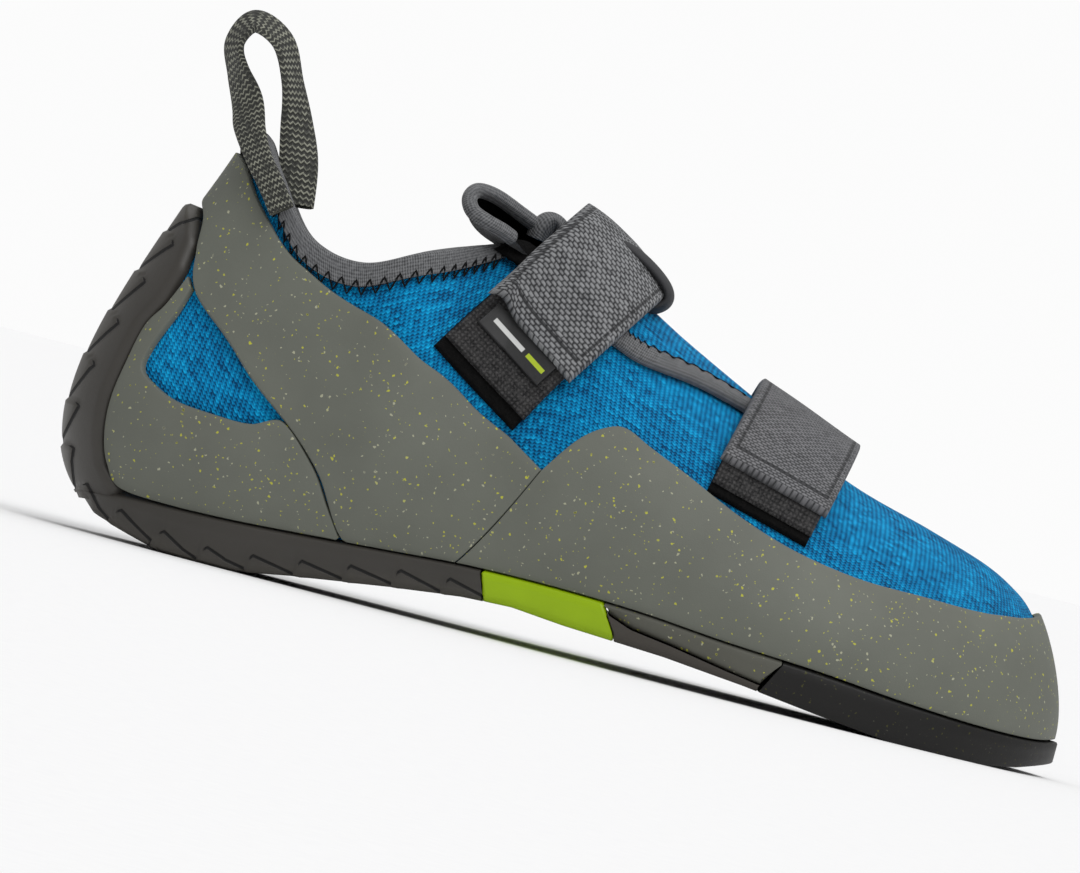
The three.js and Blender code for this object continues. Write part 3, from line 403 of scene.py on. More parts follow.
@dataclass
class Patch:
    """A rubber or cloth overlay on the last between two edges, with rounded rims.

    Attributes:
        low: its under-face, out from the knit.
        high: its upper face.
        radius: the round of its rims.
        count: cells along and across.
    """

    low: float
    high: float
    radius: float = 0.8
    count: tuple[int, int] = (120, 16)

    def grid(self, lower: Callable, upper: Callable) -> tuple[np.ndarray, ...]:
        """The places (w, h), and how round the rim is at each.

        Args:
            lower: the lower edge's places for shares t along it.
            upper: the upper edge's places.

        Returns:
            w, h, the rim's share and the distances along and across.
        """
        t = np.linspace(0, 1, 200)
        a, b = lower(t), upper(t)
        middle = LAST.knit((a[:, 0] + b[:, 0]) / 2, (a[:, 1] + b[:, 1]) / 2)
        length = np.linalg.norm(np.diff(middle, axis=0), axis=1).sum()
        t = rim(length, self.count[0], self.radius)
        a, b = lower(t), upper(t)
        wide = np.linalg.norm(LAST.knit(a[:, 0], a[:, 1]) - LAST.knit(b[:, 0], b[:, 1]), axis=1)
        wide = np.maximum(wide, 2.2 * self.radius)
        s = rim(wide, self.count[1], self.radius)
        w = mix(a[:, :1], b[:, :1], s)
        h = mix(a[:, 1:], b[:, 1:], s)
        across = s * wide[:, None]
        edge = np.minimum(across, wide[:, None] - across)
        ends = np.minimum(t, 1 - t)[:, None] * length
        return w, h, rounded(np.minimum(edge, ends), self.radius), t[:, None] * length, across

    def make(self, name: str, lower: Callable, upper: Callable,
             chart: Callable | None = None) -> bpy.types.Object:
        """Lays the patch.

        Args:
            name: the piece's name.
            lower: the lower edge's places.
            upper: the upper edge's places.
            chart: gives its pattern's lengths for points, where they aren't its own.

        Returns:
            The piece.
        """
        w, h, full, run, across = self.grid(lower, upper)
        face = LAST.wall(w, h, self.low + (self.high - self.low) * full)
        back = LAST.wall(w, h, self.low)
        uv = chart(face) if chart else np.stack(np.broadcast_arrays(run, across), -1)
        return loft(name, there_and_back(face, back), there_and_back(uv))


# Shaders.


def srgb(red: int, green: int, blue: int) -> tuple[float, float, float, float]:
    """A colour as seen on a screen, as light."""
    def linear(c: int) -> float:
        v = c / 255
        return v / 12.92 if v <= 0.04045 else ((v + 0.055) / 1.055) ** 2.4

    return (linear(red), linear(green), linear(blue), 1.0)


class Wire:
    """A shader value or vector that Python's operators work on."""

    def __init__(self, shader: "Shader", socket: bpy.types.NodeSocket) -> None:
        """Wraps a socket of a shader's tree."""
        self.shader = shader
        self.socket = socket

    def maths(self, operation: str, *others: Any) -> "Wire":
        """Joins this value to others by a Math node."""
        return self.shader.node("ShaderNodeMath", {"operation": operation}, self, *others)

    def __add__(self, other: Any) -> "Wire":
        """Adds."""
        return self.maths("ADD", other)

    __radd__ = __add__

    def __mul__(self, other: Any) -> "Wire":
        """Multiplies."""
        return self.maths("MULTIPLY", other)

    __rmul__ = __mul__

    def __sub__(self, other: Any) -> "Wire":
        """Subtracts."""
        return self.maths("SUBTRACT", other)

    def __rsub__(self, other: Any) -> "Wire":
        """Subtracts from a number."""
        return self.shader.node("ShaderNodeMath", {"operation": "SUBTRACT"}, other, self)

    def __truediv__(self, other: Any) -> "Wire":
        """Divides."""
        return self.maths("DIVIDE", other)

    def __pow__(self, other: Any) -> "Wire":
        """Raises to a power."""
        return self.maths("POWER", other)

    def __abs__(self) -> "Wire":
        """Drops the sign."""
        return self.maths("ABSOLUTE")

    def wave(self) -> "Wire":
        """A cosine whose period is 1."""
        return (self * math.tau).maths("COSINE")

    def fract(self) -> "Wire":
        """What follows the decimal point."""
        return self.maths("FRACT")

    def floor(self) -> "Wire":
        """The whole number below."""
        return self.maths("FLOOR")

    def least(self, other: Any) -> "Wire":
        """The smaller of two."""
        return self.maths("MINIMUM", other)

    def most(self, other: Any) -> "Wire":
        """The larger of two."""
        return self.maths("MAXIMUM", other)

    def step(self, low: float, high: float) -> "Wire":
        """A smooth 0 to 1 as the value goes from low to high; falls where low is above high."""
        settings = {"interpolation_type": "SMOOTHSTEP", "clamp": True}
        if low < high:
            return self.shader.node("ShaderNodeMapRange", settings, self, low, high, 0.0, 1.0)
        return self.shader.node("ShaderNodeMapRange", settings, self, high, low, 1.0, 0.0)


class Shader:
    """One procedural material and the nodes that make it."""

    def __init__(self, name: str) -> None:
        """Makes the material with a plain Principled shader."""
        self.material = bpy.data.materials.new(name)
        self.material.use_nodes = True
        self.tree = self.material.node_tree
        self.base = next(n for n in self.tree.nodes if n.type == "BSDF_PRINCIPLED")

    def node(self, kind: str, settings: dict[str, Any], *values: Any, out: int = 0) -> Wire:
        """Adds a node.

        Args:
            kind: the node's type.
            settings: its own settings, set first.
            values: what its sockets hold or are linked to, in order; None leaves one alone.
            out: which output is used.

        Returns:
            That output.
        """
        node = self.tree.nodes.new(kind)
        for key, value in settings.items():
            setattr(node, key, value)
        sockets = [s for s in node.inputs if s.enabled]
        for socket, value in zip(sockets, values):
            if isinstance(value, Wire):
                self.tree.links.new(value.socket, socket)
            elif value is not None:
                socket.default_value = value
        outs = [s for s in node.outputs if s.enabled]
        return Wire(self, outs[out])

    def place(self) -> Wire:
        """Where a point lies on the object, in metres."""
        return self.node("ShaderNodeTexCoord", {}, out=3)

    def parts(self, vector: Wire) -> tuple[Wire, Wire, Wire]:
        """A vector's three numbers."""
        x = self.node("ShaderNodeSeparateXYZ", {}, vector)
        outs = x.socket.node.outputs
        return x, Wire(self, outs[1]), Wire(self, outs[2])

    def weave(self) -> tuple[Wire, Wire]:
        """Lengths along and across the piece, in metres."""
        u, v, _ = self.parts(self.node("ShaderNodeTexCoord", {}, out=2))
        return u, v

    def vector(self, x: Any, y: Any, z: Any = 0.0) -> Wire:
        """A vector from three numbers."""
        return self.node("ShaderNodeCombineXYZ", {}, x, y, z)

    def noise(self, vector: Wire, scale: float, detail: float = 2.0, rough: float = 0.5) -> Wire:
        """Soft noise from 0 to 1."""
        return self.node("ShaderNodeTexNoise", {}, vector, scale, detail, rough)

    def cells(self, vector: Wire, scale: float) -> tuple[Wire, Wire, Wire]:
        """Distances to scattered points, with two random numbers for each point."""
        far = self.node("ShaderNodeTexVoronoi", {}, vector, scale, out=0)
        colour = Wire(self, far.socket.node.outputs["Color"])
        red, green, _ = self.parts(colour)
        return far, red, green

    def blend(self, a: Any, b: Any, share: Any) -> Wire:
        """A colour between two."""
        node = self.tree.nodes.new("ShaderNodeMix")
        node.data_type = "RGBA"
        for name, value in (("Factor_Float", share), ("A_Color", a), ("B_Color", b)):
            socket = next(s for s in node.inputs if s.identifier == name)
            if isinstance(value, Wire):
                self.tree.links.new(value.socket, socket)
            else:
                socket.default_value = value
        return Wire(self, next(s for s in node.outputs if s.identifier == "Result_Color"))

    def finish(self, colour: Any, rough: Any, height: Wire | None = None, depth: float = 0.0002,
               strength: float = 1.0, **sockets: Any) -> bpy.types.Material:
        """Sets the surface.

        Args:
            colour: the base colour.
            rough: the roughness.
            height: the relief, from 0 to 1.
            depth: how deep the relief is, in metres.
            strength: the share of it that shows.
            sockets: other sockets of the shader, by name.

        Returns:
            The material.
        """
        for name, value in (("Base Color", colour), ("Roughness", rough)):
            if isinstance(value, Wire):
                self.tree.links.new(value.socket, self.base.inputs[name])
            else:
                self.base.inputs[name].default_value = value
        for name, value in sockets.items():
            self.base.inputs[name.replace("_", " ")].default_value = value
        if height is not None:
            bump = self.tree.nodes.new("ShaderNodeBump")
            bump.inputs["Strength"].default_value = strength
            bump.inputs["Distance"].default_value = depth
            self.tree.links.new(height.socket, bump.inputs["Height"])
            self.tree.links.new(bump.outputs[0], self.base.inputs["Normal"])
        return self.material


# Flecks in three sizes: how many there are to a metre, their size and the share left out.
FLECKS = ((460.0, 0.14, 0.42), (820.0, 0.15, 0.5), (270.0, 0.08, 0.5))


@dataclass(frozen=True)
class Rubber:
    """Moulded rubber, with or without flecks of recycled rubber in it."""

    name: str
    colour: tuple[int, int, int]
    rough: float
    flecks: float = 0.0
    warm: tuple[int, int, int] = (184, 184, 48)
    pale: tuple[int, int, int] = (172, 172, 146)

    def build(self) -> bpy.types.Material:
        """Makes the material."""
        s = Shader(self.name)
        place = s.place()
        cloud = s.noise(place, 45.0, 3.0)
        dark = tuple(int(c * 0.9) for c in self.colour)
        light = tuple(int(min(c * 1.07 + 2, 255)) for c in self.colour)
        colour = s.blend(srgb(*dark), srgb(*light), cloud)
        grain = s.noise(place, 2600.0, 2.0)
        rough = grain * 0.08 + (self.rough - 0.04)
        if self.flecks:
            shake = s.node("ShaderNodeTexNoise", {}, place, 1500.0, 1.0, out=1)
            moved = s.node("ShaderNodeVectorMath", {"operation": "MULTIPLY_ADD"}, shake,
                           (0.0009, 0.0009, 0.0009), place)
            for scale, size, keep in FLECKS:
                far, kind, hue = s.cells(moved, scale)
                spot = far.step(size * 1.25, size * 0.8) * kind.step(keep, keep + 0.02)
                tint = s.blend(srgb(*self.warm), srgb(*self.pale), hue.step(0.6, 0.75))
                colour = s.blend(colour, tint, spot * self.flecks)
            far, kind, _ = s.cells(moved, 270.0)
            spot = far.step(0.08, 0.05) * kind.step(0.72, 0.74)
            colour = s.blend(colour, srgb(44, 44, 40), spot * 0.8)
        height = grain * 0.7 + s.noise(place, 260.0, 3.0) * 1.5
        return s.finish(colour, rough, height, 0.00007, 0.7, Specular_IOR_Level=0.3)


@dataclass(frozen=True)
class ScaledRubber:
    """The heel's dark rubber, its scales outlined by thin slots whose depth is painted near-black
    as shade.
    """

    name: str = "heel_rubber"
    colour: tuple[int, int, int] = (60, 57, 53)
    pitch: float = 0.0118

    def build(self) -> bpy.types.Material:
        """Makes the material. Its pattern reads the way along the tread and in from it."""
        s = Shader(self.name)
        place = s.place()
        t, d = s.weave()
        turn = (t / self.pitch).fract()
        reach = (turn / 0.16).least(1.0).most(0.0) ** 0.5 * (1 - turn * 0.86) * 0.0046
        slot = abs(d - reach).step(0.0005, 0.0002) * turn.step(0.07, 0.12)
        slot = slot * d.step(0.0052, 0.0048)
        cloud = s.noise(place, 60.0, 3.0)
        colour = s.blend(srgb(*[int(c * 0.86) for c in self.colour]), srgb(*self.colour), cloud)
        # Lighter colour within 3.5 mm of the heel's outline.
        near_outline = d.step(0.0035, 0.0)
        colour = s.blend(colour, srgb(78, 74, 66), near_outline * 0.35)
        # The slots are painted near-black: painted shade in their depth, over a bump that sinks
        # them.
        colour = s.blend(colour, srgb(9, 9, 9), slot)
        grain = s.noise(place, 2400.0, 2.0)
        height = grain * 0.08 + s.noise(place, 220.0, 3.0) * 0.35 - slot * 3.0
        rough = grain * 0.1 + 0.4 + slot * 0.3
        return s.finish(colour, rough, height, 0.00025, 0.8, Specular_IOR_Level=0.4)


@dataclass(frozen=True)
class Knit:
    """Ribbed stretch knit from a melange yarn, its stitches given painted highlight on their loops
    and painted shade between them.
    """

    name: str = "blue_knit"
    wale: float = 0.00125
    course: float = 0.0009
    # dark and light serve both the yarn's uneven tone and the stitches' painted shade and painted
    # highlight.
    dark: tuple[int, int, int] = (0, 62, 104)
    middle: tuple[int, int, int] = (0, 122, 178)
    light: tuple[int, int, int] = (16, 172, 228)

    def build(self) -> bpy.types.Material:
        """Makes the material."""
        s = Shader(self.name)
        u, v = s.weave()
        wobble = s.noise(s.vector(u, v), 240.0, 1.0) * 0.28
        column = u / self.wale + wobble
        row = v / self.course + wobble
        leg = abs(column.fract() - 0.5)
        rib = (column + 0.5).wave() * 0.5 + 0.5
        loop = (row + leg * 1.1).wave() * 0.5 + 0.5
        stitch = rib * 0.5 + loop * 0.5
        yarn = s.noise(s.vector(u * 170.0, (row.floor() * 0.613) * 9.0), 1.0, 2.0)
        cell = s.noise(s.vector(column.floor() * 3.1, row.floor() * 2.3), 1.0, 0.0)
        cloud = s.noise(s.vector(u, v), 60.0, 2.0)
        # The stitch term paints highlight on the loops' tops and shade in the gaps between them;
        # yarn, cell and cloud give the melange yarn's own uneven tone.
        shade = stitch * 0.7 + (yarn - 0.5) * 0.9 + (cell - 0.5) * 0.9 + (cloud - 0.5) * 0.35 + 0.1
        low = s.blend(srgb(*self.dark), srgb(*self.middle), shade.step(0.05, 0.5))
        colour = s.blend(low, srgb(*self.light), shade.step(0.5, 1.05))
        fuzz = s.noise(s.vector(u, v), 3200.0, 1.0)
        return s.finish(colour, 0.86, stitch + fuzz * 0.25, 0.00036, 0.85,
                        Specular_IOR_Level=0.12, Sheen_Weight=0.03, Sheen_Roughness=0.5)


@dataclass(frozen=True)
class Weave:
    """Coarse woven strap: floats in staggered rows over dark ground, edges sewn flat.

    Attributes:
        name: the material's name.
        float_size: a float's length and width, in metres.
        dark: the ground's colour.
        light: the floats' colour.
        width: the strap's width, in metres.
        hem: how far its stitch line lies in from its edge.
        fold: how far the stitch line across it lies from its tip.
    """

    name: str
    float_size: tuple[float, float] = (0.0018, 0.00102)
    dark: tuple[int, int, int] = (46, 47, 49)
    light: tuple[int, int, int] = (136, 137, 139)
    width: float = 0.029
    hem: float = 0.0022
    fold: float = 0.0043

    def build(self) -> bpy.types.Material:
        """Makes the material. u runs along the strap from its tip, v across it."""
        s = Shader(self.name)
        u, v = s.weave()
        drift = s.noise(s.vector(u, v), 420.0, 1.0) * 0.35
        row = u / self.float_size[1] + drift * 0.4
        odd = (row.floor() * 0.5).fract()
        column = v / self.float_size[0] + odd + drift
        a = row.fract() - 0.5
        b = column.fract() - 0.5
        bead = (1 - abs(a * 2.0) ** 2.4) * (1 - abs(b * 2.0) ** 3.0)
        cell = s.noise(s.vector(column.floor() * 1.7, row.floor() * 2.9), 1.0, 0.0)
        twist = s.noise(s.vector(u * 1700.0 + v * 900.0, v * 2600.0), 1.0, 1.0)
        shade = bead * 0.8 + (cell - 0.5) * 0.8 + (twist - 0.4) * 0.7
        colour = s.blend(srgb(*self.dark), srgb(*self.light), shade.step(0.1, 0.95))
        edge_line = self.width / 2 - self.hem
        side = abs(abs(v) - edge_line)
        end = abs(u - self.fold)
        inside = u.step(0.0035, 0.0045)
        line = side.least(end.most(abs(v) - edge_line)).step(0.00055, 0.0002)
        dash = (u / 0.0026).fract().step(0.2, 0.3)
        line = line * inside.most(end.step(0.0006, 0.0003))
        colour = s.blend(colour, srgb(38, 39, 41), line * (0.35 + dash * 0.5))
        height = bead - line * 1.2
        fuzz = s.noise(s.vector(u, v), 4200.0, 2.0)
        return s.finish(colour, 0.84, height + fuzz * 0.3, 0.0003, 0.9,
                        Specular_IOR_Level=0.3, Sheen_Weight=0.08)


@dataclass(frozen=True)
class Ribbed:
    """Elastic binding with fine ribs across it."""

    name: str = "grey_binding"
    pitch: float = 0.00055
    course: float = 0.0009
    dark: tuple[int, int, int] = (62, 63, 65)
    light: tuple[int, int, int] = (118, 119, 121)

    def build(self) -> bpy.types.Material:
        """Makes the material."""
        s = Shader(self.name)
        u, v = s.weave()
        drift = s.noise(s.vector(u, v), 700.0, 1.0) * 0.5
        rib = ((u + v * 0.25) / self.pitch + drift).wave() * 0.5 + 0.5
        row = (v / self.course + drift).wave() * 0.5 + 0.5
        yarn = s.noise(s.vector(u * 900.0, v * 900.0), 1.0, 2.0)
        shade = rib * 0.45 + row * 0.3 + (yarn - 0.5) * 0.9 + 0.15
        colour = s.blend(srgb(*self.dark), srgb(*self.light), shade.step(0.05, 0.95))
        return s.finish(colour, 0.88, rib * 0.6 + row * 0.5 + yarn * 0.4, 0.00016, 0.8,
                        Specular_IOR_Level=0.25, Sheen_Weight=0.1)


@dataclass(frozen=True)
class Fuzz:
    """Loop pile, hook tape, lining felt: a dark cloth with a rough nap."""

    name: str
    dark: tuple[int, int, int]
    light: tuple[int, int, int]
    grain: float
    depth: float
    rows: float = 0.0

    def build(self) -> bpy.types.Material:
        """Makes the material."""
        s = Shader(self.name)
        u, v = s.weave()
        flat = s.vector(u, v)
        nap = s.noise(flat, self.grain, 4.0, 0.65)
        tuft = s.noise(flat, self.grain * 0.22, 2.0)
        height = nap + tuft * 0.8
        shade = nap * 0.8 + tuft * 0.5
        if self.rows:
            hooks = ((u / self.rows).wave() * 0.5 + 0.5) * ((v / self.rows).wave() * 0.5 + 0.5)
            height = height + hooks * 0.8
            shade = shade + hooks * 0.25
        colour = s.blend(srgb(*self.dark), srgb(*self.light), shade.step(0.45, 1.05))
        return s.finish(colour, 0.95, height, self.depth, 0.9, Specular_IOR_Level=0.15)


@dataclass(frozen=True)
class Webbing:
    """Narrow loop webbing: dark ribs across it with short silver floats."""

    name: str = "loop_webbing"
    pitch: float = 0.0016
    strand: float = 0.0016

    def build(self) -> bpy.types.Material:
        """Makes the material. u runs along the webbing, v round it."""
        s = Shader(self.name)
        u, v = s.weave()
        column = v / self.strand
        lean = abs(column.fract() - 0.5) * 0.9
        row = u / self.pitch + lean
        ridge = row.wave() * 0.5 + 0.5
        cell = s.noise(s.vector(column.floor() * 2.7, row.floor() * 1.9), 1.0, 0.0)
        strand = s.noise(s.vector(u * 1500.0, v * 3200.0), 1.0, 1.0)
        silver = ridge.step(0.55, 0.9) * (cell + strand * 0.5).step(0.6, 0.78)
        colour = s.blend(srgb(20, 21, 20), srgb(72, 73, 67), ridge * 0.6 + strand * 0.4)
        colour = s.blend(colour, srgb(150, 151, 136), silver * 0.8)
        height = ridge + strand * 0.35 + (column.wave() * 0.5 + 0.5) * 0.4
        return s.finish(colour, 0.72, height, 0.0004, 0.9, Specular_IOR_Level=0.4)


@dataclass(frozen=True)
class Tag:
    """A black woven tag with two plain printed bars."""

    name: str = "label_tag"
    bar_down: float = 0.0038
    bar_half: float = 0.0006
    pale_at: float = -0.0036
    pale_half: float = 0.00505
    lime_at: float = 0.0056
    lime_half: float = 0.00285
    thread: float = 0.0004

    def bar(self, value: Wire, half: float) -> Wire:
        """1 within half a width of nought, with a crisp edge."""
        return abs(value).step(half + 0.00005, half - 0.00005)

    def build(self) -> bpy.types.Material:
        """Makes the material. u runs along the tag, v across it."""
        s = Shader(self.name)
        u, v = s.weave()
        band = self.bar(v - self.bar_down, self.bar_half)
        pale = band * self.bar(u - self.pale_at, self.pale_half)
        lime = band * self.bar(u - self.lime_at, self.lime_half)
        weave = (u / self.thread).wave() * (v / self.thread).wave()
        colour = s.blend(srgb(16, 16, 17), srgb(30, 30, 31), weave * 0.5 + 0.5)
        colour = s.blend(colour, srgb(205, 206, 204), pale)
        colour = s.blend(colour, srgb(170, 190, 30), lime)
        return s.finish(colour, 0.55, weave * 0.3 + pale + lime, 0.00008, 0.8)


MADE: dict[str, bpy.types.Material] = {}


class Finish(Enum):
    """The shoe's finishes, each made once."""

    KNIT = Knit()
    RAND = Rubber("speckled_rubber", (100, 103, 95), 0.6, flecks=0.85)
    STRIP = Rubber("speckled_strip", (84, 84, 76), 0.58, flecks=0.75)
    HEEL = ScaledRubber()
    WEDGE = Rubber("wedge_rubber", (66, 62, 57), 0.5)
    SOLE = Rubber("black_rubber", (17, 16, 15), 0.5, flecks=0.08)
    LIME = Rubber("lime_rubber", (146, 178, 0), 0.42)
    BINDING = Ribbed()
    STRAP = Weave("strap_webbing")
    STRAP_FINE = Weave("strap_webbing_fine", (0.0015, 0.0008), (60, 61, 63), (120, 120, 123))
    HOOK = Fuzz("hook_tape", (26, 26, 27), (78, 77, 77), 2200.0, 0.0003, rows=0.0011)
    PILE = Fuzz("loop_pile", (3, 3, 3), (20, 19, 19), 1300.0, 0.0007)
    LINING = Fuzz("lining", (20, 21, 22), (46, 47, 49), 1500.0, 0.0003)
    BOARD = Fuzz("insole_board", (34, 35, 37), (66, 68, 70), 1800.0, 0.0002, rows=0.0014)
    ROOT = Rubber("strap_root", (50, 51, 53), 0.72)
    THREAD = Fuzz("thread", (10, 10, 11), (34, 34, 35), 3000.0, 0.0001)
    WEBBING = Webbing()
    TAG = Tag()

    def material(self) -> bpy.types.Material:
        """The finish's material, made the first time it is asked for."""
        found = MADE.get(self.name)
        if found is None:
            found = MADE[self.name] = self.value.build()
        return found


def dress(piece: bpy.types.Object, node: str | None, slot: str, *finishes: Finish) -> None:
    """Gives a piece its finishes and its place on the frame.

    Args:
        piece: the finished mesh.
        node: the CAD node that it stands for, if any.
        slot: the record's material slot; not used.
        finishes: one for each of its material slots.
    """
    for finish in finishes:
        piece.data.materials.append(finish.material())
    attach(piece, "root")
    if node:
        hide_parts(node)
    LOG.info("%s: %d faces", piece.name, len(piece.data.polygons))


def thread(name: str, lines: Sequence[np.ndarray], thick: float) -> bpy.types.Object:
    """Sewing thread along lines of points, as a round mesh tube.

    Args:
        name: the piece's name.
        lines: points in millimetres.
        thick: the thread's diameter in millimetres.

    Returns:
        The piece.
    """
    wire = bpy.data.curves.new(name, "CURVE")
    wire.dimensions = "3D"
    wire.bevel_depth = thick / 2000
    wire.bevel_resolution = 1
    wire.use_fill_caps = True
    for line in lines:
        spline = wire.splines.new("POLY")
        spline.points.add(len(line) - 1)
        co = np.concatenate([world(line), np.ones((len(line), 1))], 1)
        spline.points.foreach_set("co", co.ravel())
    piece = bpy.data.objects.new(name, wire)
    bpy.context.scene.collection.objects.link(piece)
    choose(piece)
    bpy.ops.object.convert(target="MESH")
    piece = bpy.context.object
    bpy.ops.object.shade_smooth()
    return piece


# The parts of the shoe.


@dataclass
class Upper:
    """The knit sock, open at the collar and underneath."""

    around: int = 384
    up: int = 48

    def build(self) -> None:
        """Makes the sock with its lining."""
        w = np.linspace(0, 2, self.around, endpoint=False)
        h = np.linspace(0, 1, self.up + 1)
        rib, step = np.meshgrid(w, h, indexing="ij")
        rings = there_and_back(LAST.wall(rib, step, 0), LAST.wall(rib, step, -KNIT_WALL))
        uv = there_and_back(LAST.cloth(rib, step))
        ridge = (to_toe(w) > FRONT - 1e-6) & (to_toe(np.roll(w, -1)) > FRONT - 1e-6)
        drop = np.zeros((self.around, rings.shape[1]), bool)
        drop[ridge, self.up] = True
        slots = np.where(np.arange(rings.shape[1]) <= self.up, 0, 1)
        piece = loft("knit_upper", rings, uv, around=True, drop=drop, slots=slots)
        dress(piece, "upper", "blue_knit", Finish.KNIT, Finish.LINING)


def edge(table: Sequence[Sequence[float]], out: float, medial: bool = False) -> np.ndarray:
    """Places (w, h) of points given as shares (at, up), where up 0 is the feather line."""
    rows = np.array(table, float)
    found = LAST.place(rows[:, 0] * LENGTH, rows[:, 1] * height_at(rows[:, 0]), out, medial)
    low = rows[:, 1] <= 0
    w = LAST.foot(rows[:, 0])
    found[low, 0] = (2 - w if medial else w)[low]
    found[low, 1] = 0
    return found


def curve(points: np.ndarray) -> Callable[[Any], np.ndarray]:
    """A smooth line through places, which never dips under the feather line."""
    def spot(t: Any) -> np.ndarray:
        found = along(points, t)
        found[..., 1] = np.clip(found[..., 1], 0, 1)
        return found

    return spot


@dataclass
class Rands:
    """The speckled rubber round the foot: slingshot band, heel cups and toe rand.

    The edges are shares of the length and of the height, seen from the side.

    Attributes:
        band_front: the band's edge towards the toe.
        band_rear: its edge towards the heel.
        cup_outer: the heel cup's edge against the heel's rubber and the sole.
        cup_inner: its edge round the window of knit.
        toe_foot: where the toe rand's places along its edge stand on the sole.
        toe_edge: its upper edge.
        toe_tip_up: how high it stands at the tip.
        seam_rows: places on the band's rear edge, counted in its rows, that the cup's seam follows.
        seam: the seam's gap, as a share of the way round the shoe.
        round: the round of the rims.
    """

    band_front: tuple = (
        (0.103, 0.945), (0.112, 0.923), (0.13, 0.859), (0.155, 0.793), (0.202, 0.721),
        (0.268, 0.674), (0.331, 0.605), (0.382, 0.536), (0.421, 0.486), (0.456, 0.43))
    band_rear: tuple = (
        (0.079, 0.816), (0.085, 0.777), (0.087, 0.699), (0.097, 0.605), (0.15, 0.491),
        (0.205, 0.382), (0.252, 0.279), (0.294, 0), (0.346, 0), (0.4, 0))
    cup_outer: tuple = (
        (0.086, 0.64), (0.072, 0.562), (0.058, 0.504), (0.049, 0.405), (0.044, 0.309),
        (0.048, 0.219), (0.057, 0.164), (0.0745, 0.118), (0.138, 0), (0.22, 0), (0.262, 0),
        (0.286, 0))
    cup_inner: tuple = (
        (0.093, 0.613), (0.085, 0.548), (0.072, 0.472), (0.067, 0.408), (0.083, 0.374),
        (0.111, 0.349), (0.156, 0.342), (0.182, 0.346), (0.208, 0.358), (0.248, 0.274),
        (0.268, 0.207), (0.287, 0.157))
    toe_foot: tuple = (
        0.4004, 0.441, 0.48, 0.512, 0.551, 0.594, 0.65, 0.709, 0.772, 0.835, 0.898, 0.945)
    toe_edge: tuple = (
        (0.4564, 0.4295), (0.48, 0.519), (0.502, 0.567), (0.523, 0.582), (0.551, 0.551),
        (0.591, 0.508), (0.65, 0.441), (0.709, 0.394), (0.772, 0.369), (0.835, 0.366),
        (0.89, 0.364), (0.925, 0.372))
    toe_tip_up: float = 0.382
    seam_rows: tuple = (5.12, 5.9, 6.45, 6.9)
    seam: float = 0.0006
    round: float = 0.55

    def lay(self, name: str, count: tuple[int, int], lower: Callable,
            upper: Callable) -> bpy.types.Object:
        """Lays one rand between two edges."""
        return Patch(GAP, GAP + RAND, self.round, count).make(name, lower, upper)

    def band(self) -> None:
        """The band from one arch round the heel's tab to the other."""
        out = GAP + RAND
        sides = []
        for table in (self.band_rear, self.band_front):
            lateral, medial = (edge(table, out, m) for m in (False, True))
            medial[:, 0] -= 2
            middle = [[0, LAST.rise(0.0, table[0][1] * HEEL_HEIGHT)]]
            sides.append(curve(np.concatenate([medial[::-1], middle, lateral])))
        piece = self.lay("rand_slingshot", (220, 18), *sides)
        dress(piece, "slingshot_band", "speckled_rubber", Finish.RAND)

    def cup(self, medial: bool) -> None:
        """The rand round one side of the heel, under its window of knit."""
        outer, inner = (edge(t, GAP + RAND, medial) for t in (self.cup_outer, self.cup_inner))
        band = curve(edge(self.band_rear, GAP + RAND, medial))
        shared = len(self.seam_rows)
        inner[-shared:] = band(np.array(self.seam_rows) / (len(self.band_rear) - 1))
        inner[-shared:, 0] += self.seam if medial else -self.seam
        if medial:
            outer, inner = outer[::-1], inner[::-1]
        side = "medial" if medial else "lateral"
        piece = self.lay(f"rand_heel_{side}", (120, 14), curve(outer), curve(inner))
        dress(piece, f"heel_rand_{side}", "speckled_rubber", Finish.RAND)

    def toe(self) -> None:
        """The rand round the toe."""
        upper = [edge(self.toe_edge, GAP + RAND, m) for m in (False, True)]
        foot = LAST.foot(np.array(self.toe_foot))
        tip = [[1.0, LAST.rise(1.0, self.toe_tip_up * INSTEP_HEIGHT)]]
        high = np.concatenate([upper[0], tip, upper[1][::-1]])
        low = np.concatenate([foot, [1.0], 2 - foot[::-1]])
        low = np.stack([low, 0 * low], 1)
        piece = self.lay("rand_toe", (300, 22), curve(low), curve(high))
        dress(piece, "toe_rand", "speckled_rubber", Finish.RAND)

    def build(self) -> None:
        """Makes all four rands."""
        self.band()
        self.cup(False)
        self.cup(True)
        self.toe()


# The heights of the shoe's underside and of the speckled strip's under-face, along the shoe: shares
# of the length, and of the tread's arch and of the arch's height.
TREAD = np.array([
    [0.0, 1.6], [0.031, 1.06], [0.055, 0.58], [0.094, 0.26], [0.128, 0.0], [0.195, 0.0],
    [0.26, 0.33], [0.354, 0.73], [0.413, 0.94], [0.461, 1.0], [0.512, 0.87], [0.61, 0.73],
    [0.689, 0.51], [0.768, 0.22], [0.807, 0.09], [0.835, 0.0], [0.929, 0.0], [0.961, 0.14],
    [0.984, 0.33], [1.0, 0.47]])
LAYER_UNDER = np.array([
    [0.547, 0.815], [0.574, 0.667], [0.615, 0.58], [0.668, 0.438], [0.702, 0.358]])

# A piece of the sole that starts before, or ends past, these shares closes round the shoe's end.
HEEL_END = 0.06
TOE_END = 0.98


def tread(x: Any) -> Any:
    """The height of the shoe's underside."""
    return TREAD_ARCH * np.interp(np.asarray(x) / LENGTH, TREAD[:, 0], TREAD[:, 1])


